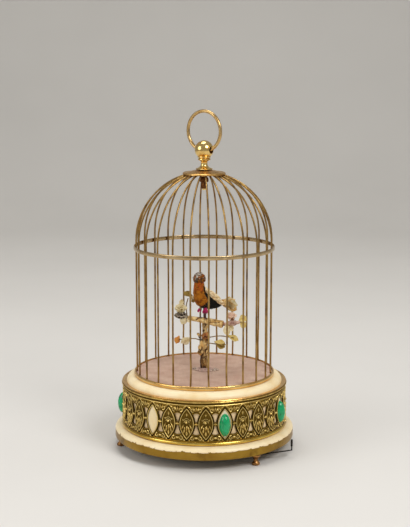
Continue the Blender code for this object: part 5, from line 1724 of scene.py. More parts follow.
@dataclass
class Finial(Assembly):
    """Stud, flare, neck, double collar and drilled ball in one turning, its nut, and the hanging ring."""

    bottom: float = 0.23135
    ball_centre: float = 0.24715
    ball_radius: float = 0.0077
    ball_steps: int = 24
    neck: float = 0.0028
    flare: float = 0.00705
    hole: float = 0.0029
    ring_turn: float = 36.0
    ring_centre: float = 0.26227
    ring_radius: float = 0.0161
    ring_wire: float = 0.0014
    ring_sides: int = 14
    nut_low: float = 0.2157
    nut_high: float = 0.2295
    nut_radius: float = 0.0039
    nut_notches: int = 9

    def build(self) -> None:
        """Makes the finial, the nut stack and the ring."""
        self.add("turned_finial", self.finial_shape(), GILT_BRIGHT, replaces=["finial"], crease=45.0)
        self.add("nut_stack", self.nut_shape(), BROWNED, "browned_brass", replaces=["finial_nut"])
        angles = [math.tau * step / self.ring_sides for step in range(self.ring_sides)]
        wire = [(self.ring_radius + self.ring_wire * math.cos(angle), self.ring_wire * math.sin(angle))
                for angle in angles]
        ring = moved(turned(wire, 96), self.across(self.ring_centre, "X"))
        self.add("bail_ring", ring, GILT_RING, body=Body.RING, replaces=["hanging_ring"])

    def across(self, height: float, axis: str) -> Matrix:
        """Lays a turning down along the ring's hole or the ring's face, at a height on the axis."""
        return Matrix.Translation((0, 0, height)) @ rotation(-self.ring_turn, "Z") @ rotation(90, axis)

    def finial_shape(self) -> Shape:
        """Turns the finial and drills its ball.

        Returns:
            The finial.
        """
        low = self.bottom
        profile = [*section(0, self.nut_low, (0, -1.2), (1.4, -1.2), (1.6, -0.9)), (0.0016, low),
                   *section(self.flare, low, (-0.2, 0), (0, 0.3), (-0.3, 0.7)),
                   (self.flare * 0.74, low + 0.0012), (self.flare * 0.58, low + 0.0018),
                   (self.flare * 0.47, low + 0.0026),
                   *section(self.neck, low, (0, 3.4), (-0.1, 4.8), (0, 6.2), (0.7, 6.9)),
                   *section(0, low, (4.8, 7.4), (5.3, 7.9), (5.2, 8.5), (4.5, 8.9), (4.4, 9.2), (5.3, 9.6),
                            (5.5, 10.1), (5.3, 10.6), (5.1, 10.9))]
        first = math.asin((low + 0.0110 - self.ball_centre) / self.ball_radius)
        for step in range(self.ball_steps):
            angle = first + (0.5 * math.pi - first) * step / self.ball_steps
            profile.append((self.ball_radius * math.cos(angle),
                            self.ball_centre + self.ball_radius * math.sin(angle)))
        profile.append((0.0, self.ball_centre + self.ball_radius))
        drill = turned([(0, -0.02), (self.hole, -0.02), (self.hole, 0.02), (0, 0.02)], 32)
        return cut(turned(profile, 56), [moved(drill, self.across(self.ball_centre, "Y"))])

    def nut_shape(self) -> Shape:
        """Turns the stack of nut, collar and washer, with a notched middle.

        Returns:
            The stack.
        """
        tall = self.nut_high - self.nut_low
        shares = ((0.6, 0.0), (0.74, 0.05), (0.76, 0.2), (0.6, 0.3), (0.58, 0.36), (0.92, 0.4), (0.96, 0.5),
                  (0.9, 0.62), (0.62, 0.68), (0.7, 0.74), (1.0, 0.78), (1.0, 0.94), (0.9, 1.0), (0.6, 1.0))
        profile = [(self.nut_radius * radius, self.nut_low + tall * height) for radius, height in shares]
        stack = turned(profile, 48)
        for vert in stack.verts:
            level = (vert.co.z - self.nut_low) / tall
            if 0.36 < level < 0.66 or level < 0.22:
                angle = math.atan2(vert.co.y, vert.co.x)
                reach = 1 - 0.1 * max(0.0, math.cos(self.nut_notches * angle)) ** 2
                vert.co.x *= reach
                vert.co.y *= reach
        return stack


@dataclass
class Tree(Assembly):
    """The wound branch: trunk, perch, twigs, cotton leaves and blossoms."""

    slot: ClassVar[str] = "painted_branch"
    trunk_x: float = 0.0005
    bottom: float = 0.0636
    perch_height: float = 0.1053
    slope: float = 0.2
    left_end: float = -0.0234
    right_end: float = 0.0156
    twig: float = 0.00044

    @property
    def near_end(self) -> Vector:
        """The perch's cut end, at the right."""
        return Vector(self.perch_point(self.right_end))

    @property
    def far_end(self) -> Vector:
        """The perch's thin end, at the left."""
        return Vector(self.perch_point(self.left_end))

    def perch_point(self, x: float, lift: float = 0.0) -> Point:
        """A point on the perch's middle line, or a lift in metres over it."""
        return (x, 0.0, self.perch_height - self.slope * (x - self.trunk_x) + lift)

    def perch_knots(self, *rows: Point) -> list[tuple[float, ...]]:
        """Points with radii along the perch, from x, millimetres over its line and radius in millimetres."""
        return [(*self.perch_point(x, lift / 1000), radius / 1000) for x, lift, radius in rows]

    def build(self) -> None:
        """Makes the wood, then the leaves and the blossoms."""
        self.build_trunk()
        self.build_perch()
        self.build_root()
        self.build_twigs()
        self.build_leaves()
        self.build_rosebud()
        self.build_pale_blossom()

    def build_trunk(self) -> None:
        """Shapes the trunk with its knob, its wound shoot, its bulge and its flakes."""
        base = (self.trunk_x, 0.0, self.bottom)
        trunk = knots(base, (0, 0, 0, 2.9), (0, 0, 5, 2.5), (-0.3, 0, 14, 2.5), (0.1, 0, 24, 2.6),
                      (0.2, 0, 33, 2.2))
        trunk.append((self.trunk_x, 0.0, self.perch_height, 0.0021))
        self.add("tree_trunk", gnarled(trunk, 6, 24, 0.4, 3.0), BARK, replaces=["tree"])
        knob = knots(base, (0.4, -0.3, 26.2, 1.6), (0.6, -0.4, 28, 3.4), (0.6, -0.4, 30.2, 3.2),
                     (0.3, -0.2, 32.5, 1.5))
        self.add("tree_knob", gnarled(knob, 4, 14, 0.25, 8.0), BARK_KNOB)
        wound = knots(base, (-2.1, -0.8, 1.5, 1.3), (-2.3, -1.2, 9, 1.6), (-2.2, -1, 14.5, 1.7))
        self.add("tree_wound_shoot", gnarled(wound, 6, 12, 0.5, 5.0), BARK_DARK)
        bulge = knots(base, (-2.4, -1, 12.5, 1.2), (-3.2, -1.1, 15, 2.4), (-2.8, -0.9, 20.5, 2.4),
                      (-2, -0.8, 25, 1.2))
        self.add("tree_bulge", gnarled(bulge, 6, 14, 0.5, 12.0), BARK_BULGE)
        flakes = []
        for place, sizes, lean in (
            ((-3.5, -2.2, 18), (1.4, 0.6, 2.6), 12), ((0.8, -2.6, 21.5), (1.2, 0.6, 2.2), -15),
            ((1.9, -2.1, 14.5), (1.0, 0.6, 2.8), 0),
        ):
            flakes.append(ball(Vector(base) + mm(*place), mm(*sizes), rotation(lean, "Y"), 9, 6))
        self.add("tree_flakes", joined(flakes), BARK_PERCH)

    def build_perch(self) -> None:
        """Shapes the perch: a pale log, a thin mottled shoot and the cut face."""
        left, right = self.left_end, self.right_end
        log = self.perch_knots((left * 0.58, 0.2, 1.5), (left * 0.42, -0.2, 1.9), (-0.0062, 0, 2.1),
                               (-0.0025, 0, 2.4), (0.002, 0, 2.7), (0.008, 0, 2.9), (right - 0.0004, 0, 3.1))
        self.add("perch_log", gnarled(log, 6, 20, 0.2, 1.0), BARK_PERCH)
        shoot = self.perch_knots((left, 0.2, 1.2), (left * 0.88, -0.4, 2.1), (left * 0.7, 0.2, 1.7),
                                 (left * 0.54, -0.1, 1.3))
        self.add("perch_shoot", gnarled(shoot, 6, 16, 0.6, 2.0), BARK_MOTTLED)
        end = Vector(self.perch_point(right - 0.0003))
        face = turned(section(0, 0, (0, 0), (2.5, 0), (2.8, 0.1), (2.5, 0.6), (1.3, 0.4), (0, 0.45)), 24)
        place = aimed(end, end + Vector((1, 0, -self.slope))) @ rotation(90, "Y")
        self.add("perch_cut_end", moved(face, place), BARK_KNOB)

    def build_root(self) -> None:
        """Spreads the root plate and drops crumbs of plaster round it."""
        x, low = self.trunk_x, self.bottom
        root = turned(section(0, low, (1.2, 0), (7.7, 0), (7.6, 0.4), (6.4, 0.8), (4.2, 1.1), (2.8, 2.1),
                              (1.2, 2.2)), 48)
        for vert in root.verts:
            shift = min(1 + 0.14 * noise.noise(Vector((vert.co.x * 300, vert.co.y * 300, 4.0))), 1.0)
            vert.co = Vector((vert.co.x * shift, vert.co.y * shift, vert.co.z))
        self.add("root_plate", upright(root, (x, 0.0)), ROOT_PLASTER)
        crumbs = []
        for azimuth, away, wide in (
            (268, 9.4, 1.7), (248, 8.0, 2.2), (285, 7.0, 1.4), (66, 8.4, 2.0), (84, 9.8, 2.2), (50, 6.8, 1.6),
            (104, 8.4, 1.2), (310, 6.0, 1.5), (20, 6.0, 1.3), (175, 7.2, 1.4), (340, 6.6, 1.1),
        ):
            spot = direction(azimuth) * (away / 1000) + Vector((x, 0, low + 0.0002))
            crumbs.append(ball(spot, mm(wide, wide * 0.7, 0.9), rotation(azimuth * 2, "Z"), 10, 6))
        self.add("root_crumbs", joined(crumbs), ROOT_CRUMB)

    def build_twigs(self) -> None:
        """Bends the thin dark twigs, and the stub with its pale tip."""
        fork = Vector((self.trunk_x + 0.0001, 0.0003, self.bottom + 0.0229))
        end, left = self.near_end, self.far_end
        runs = (
            [*placed(fork, (0, 0, 0), (-5.5, -0.2, 2.8), (-9.9, 0, 3.5)), mm(-22.7, 1, 89)],
            placed(fork, (0, 0, 0), (5, -0.6, -0.4), (12, -1, -1.5)),
            placed(fork, (0, 0, 4), (12.5, -1, 6), (24, -2, 4.5)),
            placed(end, (-3, 0, 0), (5.5, 0.2, 0.6), (12.5, 0, 1.6), (16, 0, 2.5)),
            [Vector(self.perch_point(self.left_end * 0.6)), *placed(left, (8.5, 3.5, 7), (10, 6, 13))],
            placed(end, (4.5, 0, 0.4), (6.2, 0, 3), (7.1, 0, 5.6)),
        )
        twigs = [tube([row.xyz for row in eased(run, 4)], self.twig, 8) for run in runs]
        self.add("tree_twigs", joined(twigs), TWIG)
        stub, tip = placed(fork, (0.2, -0.5, -6), (-6.1, -1, 8.5))
        for name, shares, rough, seed, finish in (
            ("dark_stub", ((0, 1.0), (0.5, 1.0), (0.85, 0.8)), 0.4, 6.0, BARK_MOTTLED),
            ("pale_tip", ((0.82, 0.7), (0.92, 1.1), (1, 0.8)), 0.3, 7.0, BARK_PERCH),
        ):
            rows = [(*stub.lerp(tip, share), radius / 1000) for share, radius in shares]
            self.add(name, gnarled(rows, 4, 10, rough, seed), finish)

    def leaves(self, anchor: Vector, *rows: tuple) -> Shape:
        """Cuts cotton leaves with folded middles, and sets them on their twigs.

        Args:
            anchor: where their places are measured from.
            rows: each leaf's root and tip as millimetres from the anchor, its width in millimetres and its
                roll in degrees, and its curl in metres where it isn't the usual one.

        Returns:
            The leaves in one shape.
        """
        parts = []
        for root, tip, width, roll, *curl in rows:
            parts.append(vane(anchor + mm(*root), anchor + mm(*tip), width / 1000, 0.00022, roll=roll,
                              cup=0.0009, curl=curl[0] if curl else -0.0008, wave=0.0002, point=0.4,
                              root=0.2))
        return joined(parts)

    def build_leaves(self) -> None:
        """Sets the leaves on their twigs."""
        origin, end, left = Vector(), self.near_end, self.far_end
        for name, finish, anchor, rows in (
            ("leaf_low_left", LEAF_PALE, origin, (((-11, 0, 90.5), (-19.6, -0.8, 86.6), 7.2, 58),
                                                  ((-12.2, 0, 90), (-16.6, 1.2, 84.6), 4.6, 70))),
            ("leaf_orange", LEAF_ORANGE, origin, (((-20.5, 0.8, 92), (-23.6, 0.4, 85.8), 5.6, 72),
                                                  ((-21, 0.8, 90.5), (-25, 1.6, 88.5), 3.6, 40))),
            ("leaf_near_upper", LEAF_YELLOW, origin, (((8.4, -1.2, 87.2), (17.2, -1.8, 87.4), 4.6, 48),)),
            ("leaf_near", LEAF_OLIVE, origin, (((9, -0.5, 86.6), (18, -0.9, 85.2), 5.2, 30),
                                               ((9.4, -0.8, 86.2), (17.4, -1.4, 83), 6.0, 75))),
            ("leaf_low_right", LEAF_YELLOW, origin, (((19.6, -1.3, 92.8), (28.6, -2, 89), 5.6, 50),)),
            ("leaf_far_right", LEAF_YELLOW, origin, (((29, 0, 104.8), (35, 0.2, 109), 6.6, 60),
                                                     ((29.2, 0, 104.6), (34.4, -0.4, 99.6), 6.0, 55),
                                                     ((30, 0.2, 104.6), (26.2, 0.6, 102.4), 3.8, 45))),
            ("leaf_behind", LEAF_OLIVE, origin, (((-9.6, 6, 124), (-17.2, 5.8, 128.6), 6.4, 58),
                                                 ((-10, 5.6, 123.6), (-8.6, 4.8, 119.6), 3.4, 45))),
            ("leaf_behind_tip", LEAF_PALE, origin, (((-12, 5, 125), (-8.6, 4.4, 122.8), 3.4, 60),)),
            ("leaf_hanging", LEAF_PALE, end, (((3, -1.2, 1.2), (3.6, -2, -9.4), 6.4, 12),
                                              ((4.4, -0.2, 1.2), (8.2, 0, -6), 4.6, 70))),
            ("leaf_under_blossom", LEAF_PALE, left, (((9, -1.2, -0.4), (4.6, -1.8, -7.4), 6.6, 78),
                                                     ((9.5, -0.8, -1), (12.2, -1.4, -6), 4.6, 70))),
        ):
            self.add(name, self.leaves(anchor, *rows), finish)

    def blossom(self, centre: Vector, size: float, petals: int, seed: int, tall: float = 1.0) -> Shape:
        """A crumpled cotton blossom: cupped petals round a core.

        Args:
            centre: its middle.
            size: its radius.
            petals: how many petals it has.
            seed: for their unevenness.
            tall: its height as a share of the usual one.

        Returns:
            The blossom.
        """
        dice = random.Random(seed)
        root = centre - Vector((0, 0, size * 0.8 * tall))
        parts = [ball(centre, (size * 0.6, size * 0.6, size * 0.7 * tall), around=14, rings=9)]
        for number in range(petals):
            azimuth = 137.5 * number + dice.uniform(-20, 20)
            inner = number < petals / 2
            out = direction(azimuth) * (0.35 if inner else 0.85) * size
            tip = root + out * dice.uniform(0.9, 1.3) + Vector((0, 0, size * tall * (1.75 if inner else 1.3)))
            petal = vane(root, tip, size * 1.35, size * 0.07, cup=-size * 0.34, curl=-size * 0.12,
                         wave=size * 0.06, point=0.1, root=0.3)
            parts.append(moved(petal, Matrix.Translation(out * 0.35)))
        shape = joined(parts)
        for vert in shape.verts:
            away = vert.co - centre
            vert.co += away.normalized() * size * 0.08 * noise.noise(vert.co * 900)
        return shape

    def build_rosebud(self) -> None:
        """Folds the rosebud at the right, its calyx and the wrapping round its joint."""
        end = self.near_end
        self.add("rosebud", self.blossom(end + mm(6.8, 0, 7.2), 0.0031, 7, 4), PETAL_ROSE)
        self.add("rosebud_calyx", self.blossom(end + mm(7.2, 0, 4.6), 0.0017, 5, 6), BARK_KNOB)
        wrap = knots(end, (-0.6, 0, -0.2, 1.4), (4, 0, 0.4, 1.9), (7.8, 0, 1.2, 2.3), (11, 0, 1.6, 1.7),
                     (14.2, 0, 2.1, 1.0))
        self.add("joint_wrap", gnarled(wrap, 4, 12, 0.5, 9.0), PETAL_MAUVE)

    def build_pale_blossom(self) -> None:
        """Folds the pale blossom at the left, with a heart of painted shade, its tip and its calyx."""
        left = self.far_end
        # A dark olive ball among the front petals: painted shade between them.
        self.add("blossom_shaded_heart", ball(left + mm(4.8, -2.2, 5.8), mm(1.4, 1.2, 1.6), None, 12, 8), LEAF_OLIVE)
        self.add("pale_blossom", self.blossom(left + mm(4, 0, 5.6), 0.0033, 9, 9, 1.15), LEAF_PALE)
        tip = self.leaves(left, ((3.6, -1, 7.5), (4.8, -1.2, 14.2), 3.8, 14, 0.0006),
                          ((3, -2.2, 6), (0.2, -2.4, 9.2), 3.2, 60),
                          ((6, -2.2, 5), (8.2, -2.4, 8.6), 3.0, 60))
        self.add("blossom_tip", tip, LEAF_PALE)
        self.add("blossom_calyx", self.blossom(left + mm(4, -1, 0.4), 0.0038, 10, 3, 0.7), BARK_MOTTLED)


@dataclass
class Bird(Assembly):
    """The dressed bird: feathered body, wings and legs, turning head, beak and tail.

    The spine's rows are millimetres forward and up, and the body's radius there in millimetres.
    """

    slot: ClassVar[str] = "feathers"
    azimuth: float = -60.0
    head_azimuth: float = -25.0
    x: float = -0.0005
    spine: tuple = ((4.0, 137.6, 4.0), (3.9, 132.5, 4.7), (3.2, 128.2, 5.7), (1.1, 123.5, 6.3),
                    (-2.2, 120.8, 5.0), (-7.1, 119.1, 4.1), (-11.9, 118.5, 2.9), (-14.2, 118.6, 2.1))
    ridge: tuple = ((0.8, 132.6, 1.5), (-2.6, 129.7, 2.8), (-7.0, 126.0, 3.4), (-11.8, 122.4, 2.9))
    head_centre: Point = (-0.0039, -0.0020, 0.1415)
    head_radius: float = 0.0054
    head_low: float = 0.1373
    gape_height: float = 0.14035
    beak_hinge: tuple = (-0.005703, -0.005865)
    tail_hinge: Point = (0.013859, 0.00829, 0.1189)
    seed: int = 11

    @property
    def ahead(self) -> Vector:
        """The way the body faces."""
        return direction(self.azimuth)

    @property
    def aside(self) -> Vector:
        """The body's left."""
        return UP.cross(self.ahead)

    @property
    def front(self) -> Vector:
        """The way the head faces."""
        return direction(self.head_azimuth)

    def at(self, forward: float, height: float, left: float = 0.0) -> Vector:
        """The place at millimetres ahead of the bird's middle, above the ground and to the bird's left."""
        place = Vector((self.x, 0, 0)) + self.ahead * (forward / 1000)
        return place + self.aside * (left / 1000) + Vector((0, 0, height / 1000))

    def core(self, rows: Sequence[Point], left: float = 0.0) -> list[tuple[float, ...]]:
        """Points with radii from rows of millimetres forward, up and round, at millimetres to the left."""
        return [(*self.at(forward, height, left), radius / 1000) for forward, height, radius in rows]

    def build(self) -> None:
        """Makes the bird from its core outwards."""
        self.build_body()
        self.build_mantle()
        self.build_wings()
        self.build_tufts()
        self.build_legs()
        self.build_head()
        self.build_eyes()
        self.build_beak()
        self.build_tail()

    def coat(self, keep: Callable[[float, float], bool], size: float, rows: int, around: int, lift: float,
             seed: int) -> Shape:
        """Small overlapping feathers over part of the body.

        Args:
            keep: says for a share along the spine and an angle from the breast whether one grows there.
            size: a feather's length.
            rows: rows from neck to rump.
            around: feathers in a row.
            lift: how far they stand off the core.
            seed: for their unevenness.

        Returns:
            All the feathers in one shape.
        """
        dice = random.Random(seed)
        path = eased(self.core(self.spine), 6)
        aside = self.aside
        parts = []
        for row in range(rows):
            share = (row + 0.5) / rows
            number = min(int(share * (len(path) - 1)), len(path) - 2)
            here = path[number]
            heading = (path[number + 1].xyz - path[max(number - 1, 0)].xyz).normalized()
            belly = heading.cross(aside).normalized()
            if belly.dot(self.ahead) < -0.2 or belly.z > 0.5:
                belly.negate()
            for step in range(around):
                angle = math.tau * (step + 0.5 * (row % 2)) / around + dice.uniform(-0.12, 0.12)
                degrees = math.degrees(math.atan2(math.sin(angle), math.cos(angle)))
                if not keep(share, degrees):
                    continue
                out = belly * math.cos(angle) + aside * math.sin(angle)
                spot = here.xyz + out * (here.w + lift) + heading * dice.uniform(-0.0006, 0.0006)
                long = size * dice.uniform(0.8, 1.25)
                along = (heading + out * 0.16 + aside * dice.uniform(-0.15, 0.15)).normalized()
                wide = out.cross(along).normalized()
                parts.append(plume(spot, axes(along, wide, along.cross(wide)), long, 0.24, 0.00028))
        return joined(parts)

    def build_body(self) -> None:
        """Shapes the core and dresses breast, throat and flanks."""
        rows = self.core(self.spine)
        self.add("breast_core", gnarled(rows[:5], 5, 26, 0.06, 1.0), ORANGE_DOWN, replaces=["bird_body"])
        self.add("rump_core", gnarled(rows[3:], 5, 26, 0.06, 1.0), BLACK_VANE)
        for name, keep, form, finish in (
            ("breast_feathers", lambda share, angle: abs(angle) < 112 and share < 0.5,
             (0.0034, 19, 24, -0.00005, 1), ORANGE_DOWN),
            ("throat_feathers", lambda share, angle: share < 0.15 and abs(angle) < 95,
             (0.0028, 26, 20, 0.0001, 5), RED_DOWN),
            ("flank_feathers", lambda share, angle: abs(angle) >= 104 and share > 0.12 or share >= 0.5,
             (0.0034, 19, 22, 0.0, 2), BLACK_VANE),
        ):
            self.add(name, self.coat(keep, *form), finish)

    def build_mantle(self) -> None:
        """Lays the strip of cream feathers down the left of the back, on a ridge of its own."""
        dice = random.Random(self.seed)
        strip = [gnarled(self.core(self.ridge, 2.4), 5, 14, 0.25, 4.0)]
        count = 72
        for number in range(count):
            share = number / (count - 1)
            side = dice.uniform(-2.6, 5.6)
            lift = dice.uniform(-1.8, 1.6) - max(side, 0.0) * 0.45
            start = self.at(0.6 - 11.6 * share, 133.4 - 10.0 * share + lift, side + 1.4)
            tip = self.at(-3.8 - 12.2 * share, 129.8 - 8.6 * share + lift, side * 1.1 + 1.6)
            strip.append(vane(start, tip, 0.0032, 0.00016, roll=dice.uniform(-50, 60), cup=-0.0003,
                              curl=0.0006, point=0.5, root=0.4))
        self.add("mantle_feathers", joined(strip), CREAM_DOWN)

    def build_wings(self) -> None:
        """Lays long vanes and short coverts along each flank."""
        vanes = []
        for side in (-1, 1):
            for share in (number / 8 for number in range(9)):
                start = self.at(0.2 - 5.0 * share, 129.0 - 5.2 * share, side * (6.0 + 0.6 * share))
                tip = self.at(-10.6 - 5.8 * share, 115.4 + 1.6 * share, side * (4.3 - 1.2 * share))
                vanes.append(vane(start, tip, 0.0030, 0.0002, roll=side * (78 - 10 * share), cup=-0.0004,
                                  curl=-0.0006, point=0.35, root=0.45))
            for share in (number / 9 for number in range(10)):
                start = self.at(1.2 - 3.6 * share, 130.0 - 2.6 * share, side * 5.8)
                tip = self.at(-3.8 - 4.0 * share, 123.2 + 1.2 * share, side * 6.6)
                vanes.append(vane(start, tip, 0.0024, 0.0002, roll=side * 82, cup=-0.0003, curl=-0.0002,
                                  point=0.4, root=0.5))
        self.add("wing_feathers", joined(vanes), BLACK_VANE)

    def build_tufts(self) -> None:
        """Adds the crimson tufts under the belly."""
        dice = random.Random(self.seed + 1)
        parts = []
        for middle, count, size in ((mm(1.2, -3.2, 115.6), 34, 1.3), (mm(-4.2, -2.4, 115.0), 9, 0.8)):
            for _ in range(count):
                lean = mm(dice.uniform(-2.0, 2.0), dice.uniform(-1.4, 1.4), -dice.uniform(2.2, 4.0)) * size
                start = middle + mm(dice.uniform(-0.8, 0.8), dice.uniform(-0.6, 0.6), 1.2)
                parts.append(vane(start, start + lean, 0.0015, 0.00015, roll=dice.uniform(0, 180),
                                  curl=0.0003, point=0.3, root=0.5))
        self.add("vent_tufts", joined(parts), CRIMSON_TUFT)

    def build_legs(self) -> None:
        """Bends the thin legs and their toes over the perch, beside the support post."""
        parts = [tube([mm(0.5, 0, 107), mm(0.5, 0, 112), mm(0.3, 0, 116)], 0.0013, 12)]
        for side in (-1, 1):
            hip = mm(-1.0 + 1.2 * side, -0.6 - 1.2 * side, 116.2)
            foot = mm(-0.8 + 2.2 * side, -1.0 - 0.4 * side, 108.2 - 0.4 * side)
            parts.append(tube([hip, hip.lerp(foot, 0.5) + mm(-0.4, -0.4, 0), foot], 0.00038, 8))
            for toe in (-1.1, 0.0, 1.1):
                path = placed(foot, (0, 0, 0), (toe * 0.6, -1.2, 0.1), (toe, -1.6, -1.0))
                parts.append(tube(path, [0.00034, 0.0003, 0.00018], 7))
        self.add("bird_legs", joined(parts), LEG_PAINT)

    def build_head(self) -> None:
        """Shapes the head and dresses its crown, brow, cheeks and face."""
        centre, radius = Vector(self.head_centre), self.head_radius
        head = ball(centre, (radius * 0.9, radius * 0.9, radius * 0.95), around=28, rings=18)
        head = sliced(head, (0, 0, self.head_low), (0, 0, -1))
        self.add("head_core", head, BROWN_DOWN, body=Body.HEAD, replaces=["bird_head"])
        dice = random.Random(self.seed + 2)
        front = self.front
        aside = UP.cross(front)
        crown, cheek, brow, face = [], [], [], []
        for ring in range(13):
            polar = math.radians(6 + ring * 10.5)
            count = max(5, int(30 * math.sin(polar)))
            for step in range(count):
                angle = math.tau * (step + 0.5 * (ring % 2)) / count + dice.uniform(-0.15, 0.15)
                out = (front * math.cos(angle) + aside * math.sin(angle)) * math.sin(polar)
                out.z = math.cos(polar)
                spot = centre + out * radius * (0.9 + 0.1 * max(0.0, -out.z + 0.15))
                along = -UP - front * 0.8
                along = (along - out * along.dot(out)).normalized()
                spot -= along * 0.0004
                if spot.z < self.head_low + 0.0012:
                    continue
                place = axes(along, out.cross(along).normalized(), out + along * 0.12)
                feather = plume(spot, place, 0.0023 * dice.uniform(0.8, 1.25), 0.16, 0.00026)
                middle = abs(math.sin(angle)) < 0.3 and out.z > -0.35
                if out.z > 0.6 or middle or math.cos(angle) < -0.3 and out.z > 0.0:
                    (crown, brow, crown)[dice.randrange(3)].append(feather)
                else:
                    (face, face, cheek, brow, face, crown)[dice.randrange(6)].append(feather)
        for name, feathers, finish in (
            ("crown_feathers", crown, GREY_CROWN), ("brow_feathers", brow, BROWN_DOWN),
            ("cheek_feathers", cheek, RED_DOWN), ("face_feathers", face, FACE_DOWN),
        ):
            self.add(name, joined(feathers), finish, body=Body.HEAD)

    def build_eyes(self) -> None:
        """Sets a glass bead at each side of the head."""
        front = self.front
        eyes = []
        for side in (-1, 1):
            look = (front * 0.62 + UP.cross(front) * side * 0.78 + Vector((0, 0, 0.12))).normalized()
            place = Vector(self.head_centre) + look * self.head_radius * 0.97
            eyes.append(ball(place, (0.00062,) * 3, around=12, rings=8))
        self.add("bead_eyes", joined(eyes), JET_BEAD, body=Body.HEAD)

    def build_beak(self) -> None:
        """Shapes the upper beak on the head and the hinged lower beak."""
        front, centre = self.front, Vector(self.head_centre)
        root = centre + front * self.head_radius * 0.82 + mm(0, 0, -0.2)
        tip = centre + front * (self.head_radius + 0.0046) + mm(0, 0, -1.2)
        path = eased([root, root.lerp(tip, 0.5) + mm(0, 0, 0.4), tip], 5)
        upper = tube(path, [0.0012 * (1 - 0.93 * (step / 10) ** 1.4) for step in range(11)], 14)
        upper = sliced(upper, (0, 0, self.gape_height), (0, 0, -1))
        self.add("upper_beak", upper, HORN, "painted_horn", body=Body.HEAD)
        low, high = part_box("lower_beak")
        hinge = Vector((*self.beak_hinge, (low[2] + high[2]) / 2))
        jaw_tip = hinge + front * 0.0050
        lower = tube([hinge, hinge.lerp(jaw_tip, 0.4), hinge.lerp(jaw_tip, 0.8), jaw_tip],
                     [0.00068, 0.0006, 0.0003, 0.0001], 12)
        self.add("lower_beak_horn", lower, HORN, "painted_horn", body=Body.BEAK, replaces=["lower_beak"])

    def build_tail(self) -> None:
        """Fans crumpled pale feathers out from the tail's hinge."""
        back, aside = -self.ahead, self.aside
        hinge = Vector(self.tail_hinge) + back * 0.0003
        dice = random.Random(self.seed + 3)
        parts = [ball(hinge + back * 0.0024, (0.0034, 0.0022, 0.0022), rotation(self.azimuth + 90, "Z"), 14,
                      9)]
        tips = []
        count = 26
        for number in range(count):
            share = number / (count - 1) * 2 - 1
            layer = dice.uniform(-0.0012, 0.0012)
            fan = aside * (share * 0.0052 + layer) + UP * (0.0042 - 0.0060 * share**2 - layer)
            start = hinge + back * 0.0010 + fan * 0.25
            reach = 0.0146 - 0.0028 * share**2 + dice.uniform(-0.0016, 0.0010)
            tip = hinge + back * reach + fan + Vector((0, 0, -0.0050 + dice.uniform(-0.0014, 0.0016)))
            feather = vane(start, tip, 0.0062, 0.00018, cup=dice.uniform(0.0004, 0.0012),
                           curl=dice.uniform(-0.0022, 0.0004), wave=0.0007, point=0.15, root=0.25,
                           roll=20 + share * 60 + dice.uniform(-30, 30))
            (tips if number % 3 == 1 else parts).append(feather)
        self.add("tail_fan_grey", joined(tips), TAIL_TIP, body=Body.TAIL)
        self.add("tail_fan", joined(parts), TAIL_VANE, body=Body.TAIL, replaces=["bird_tail"])


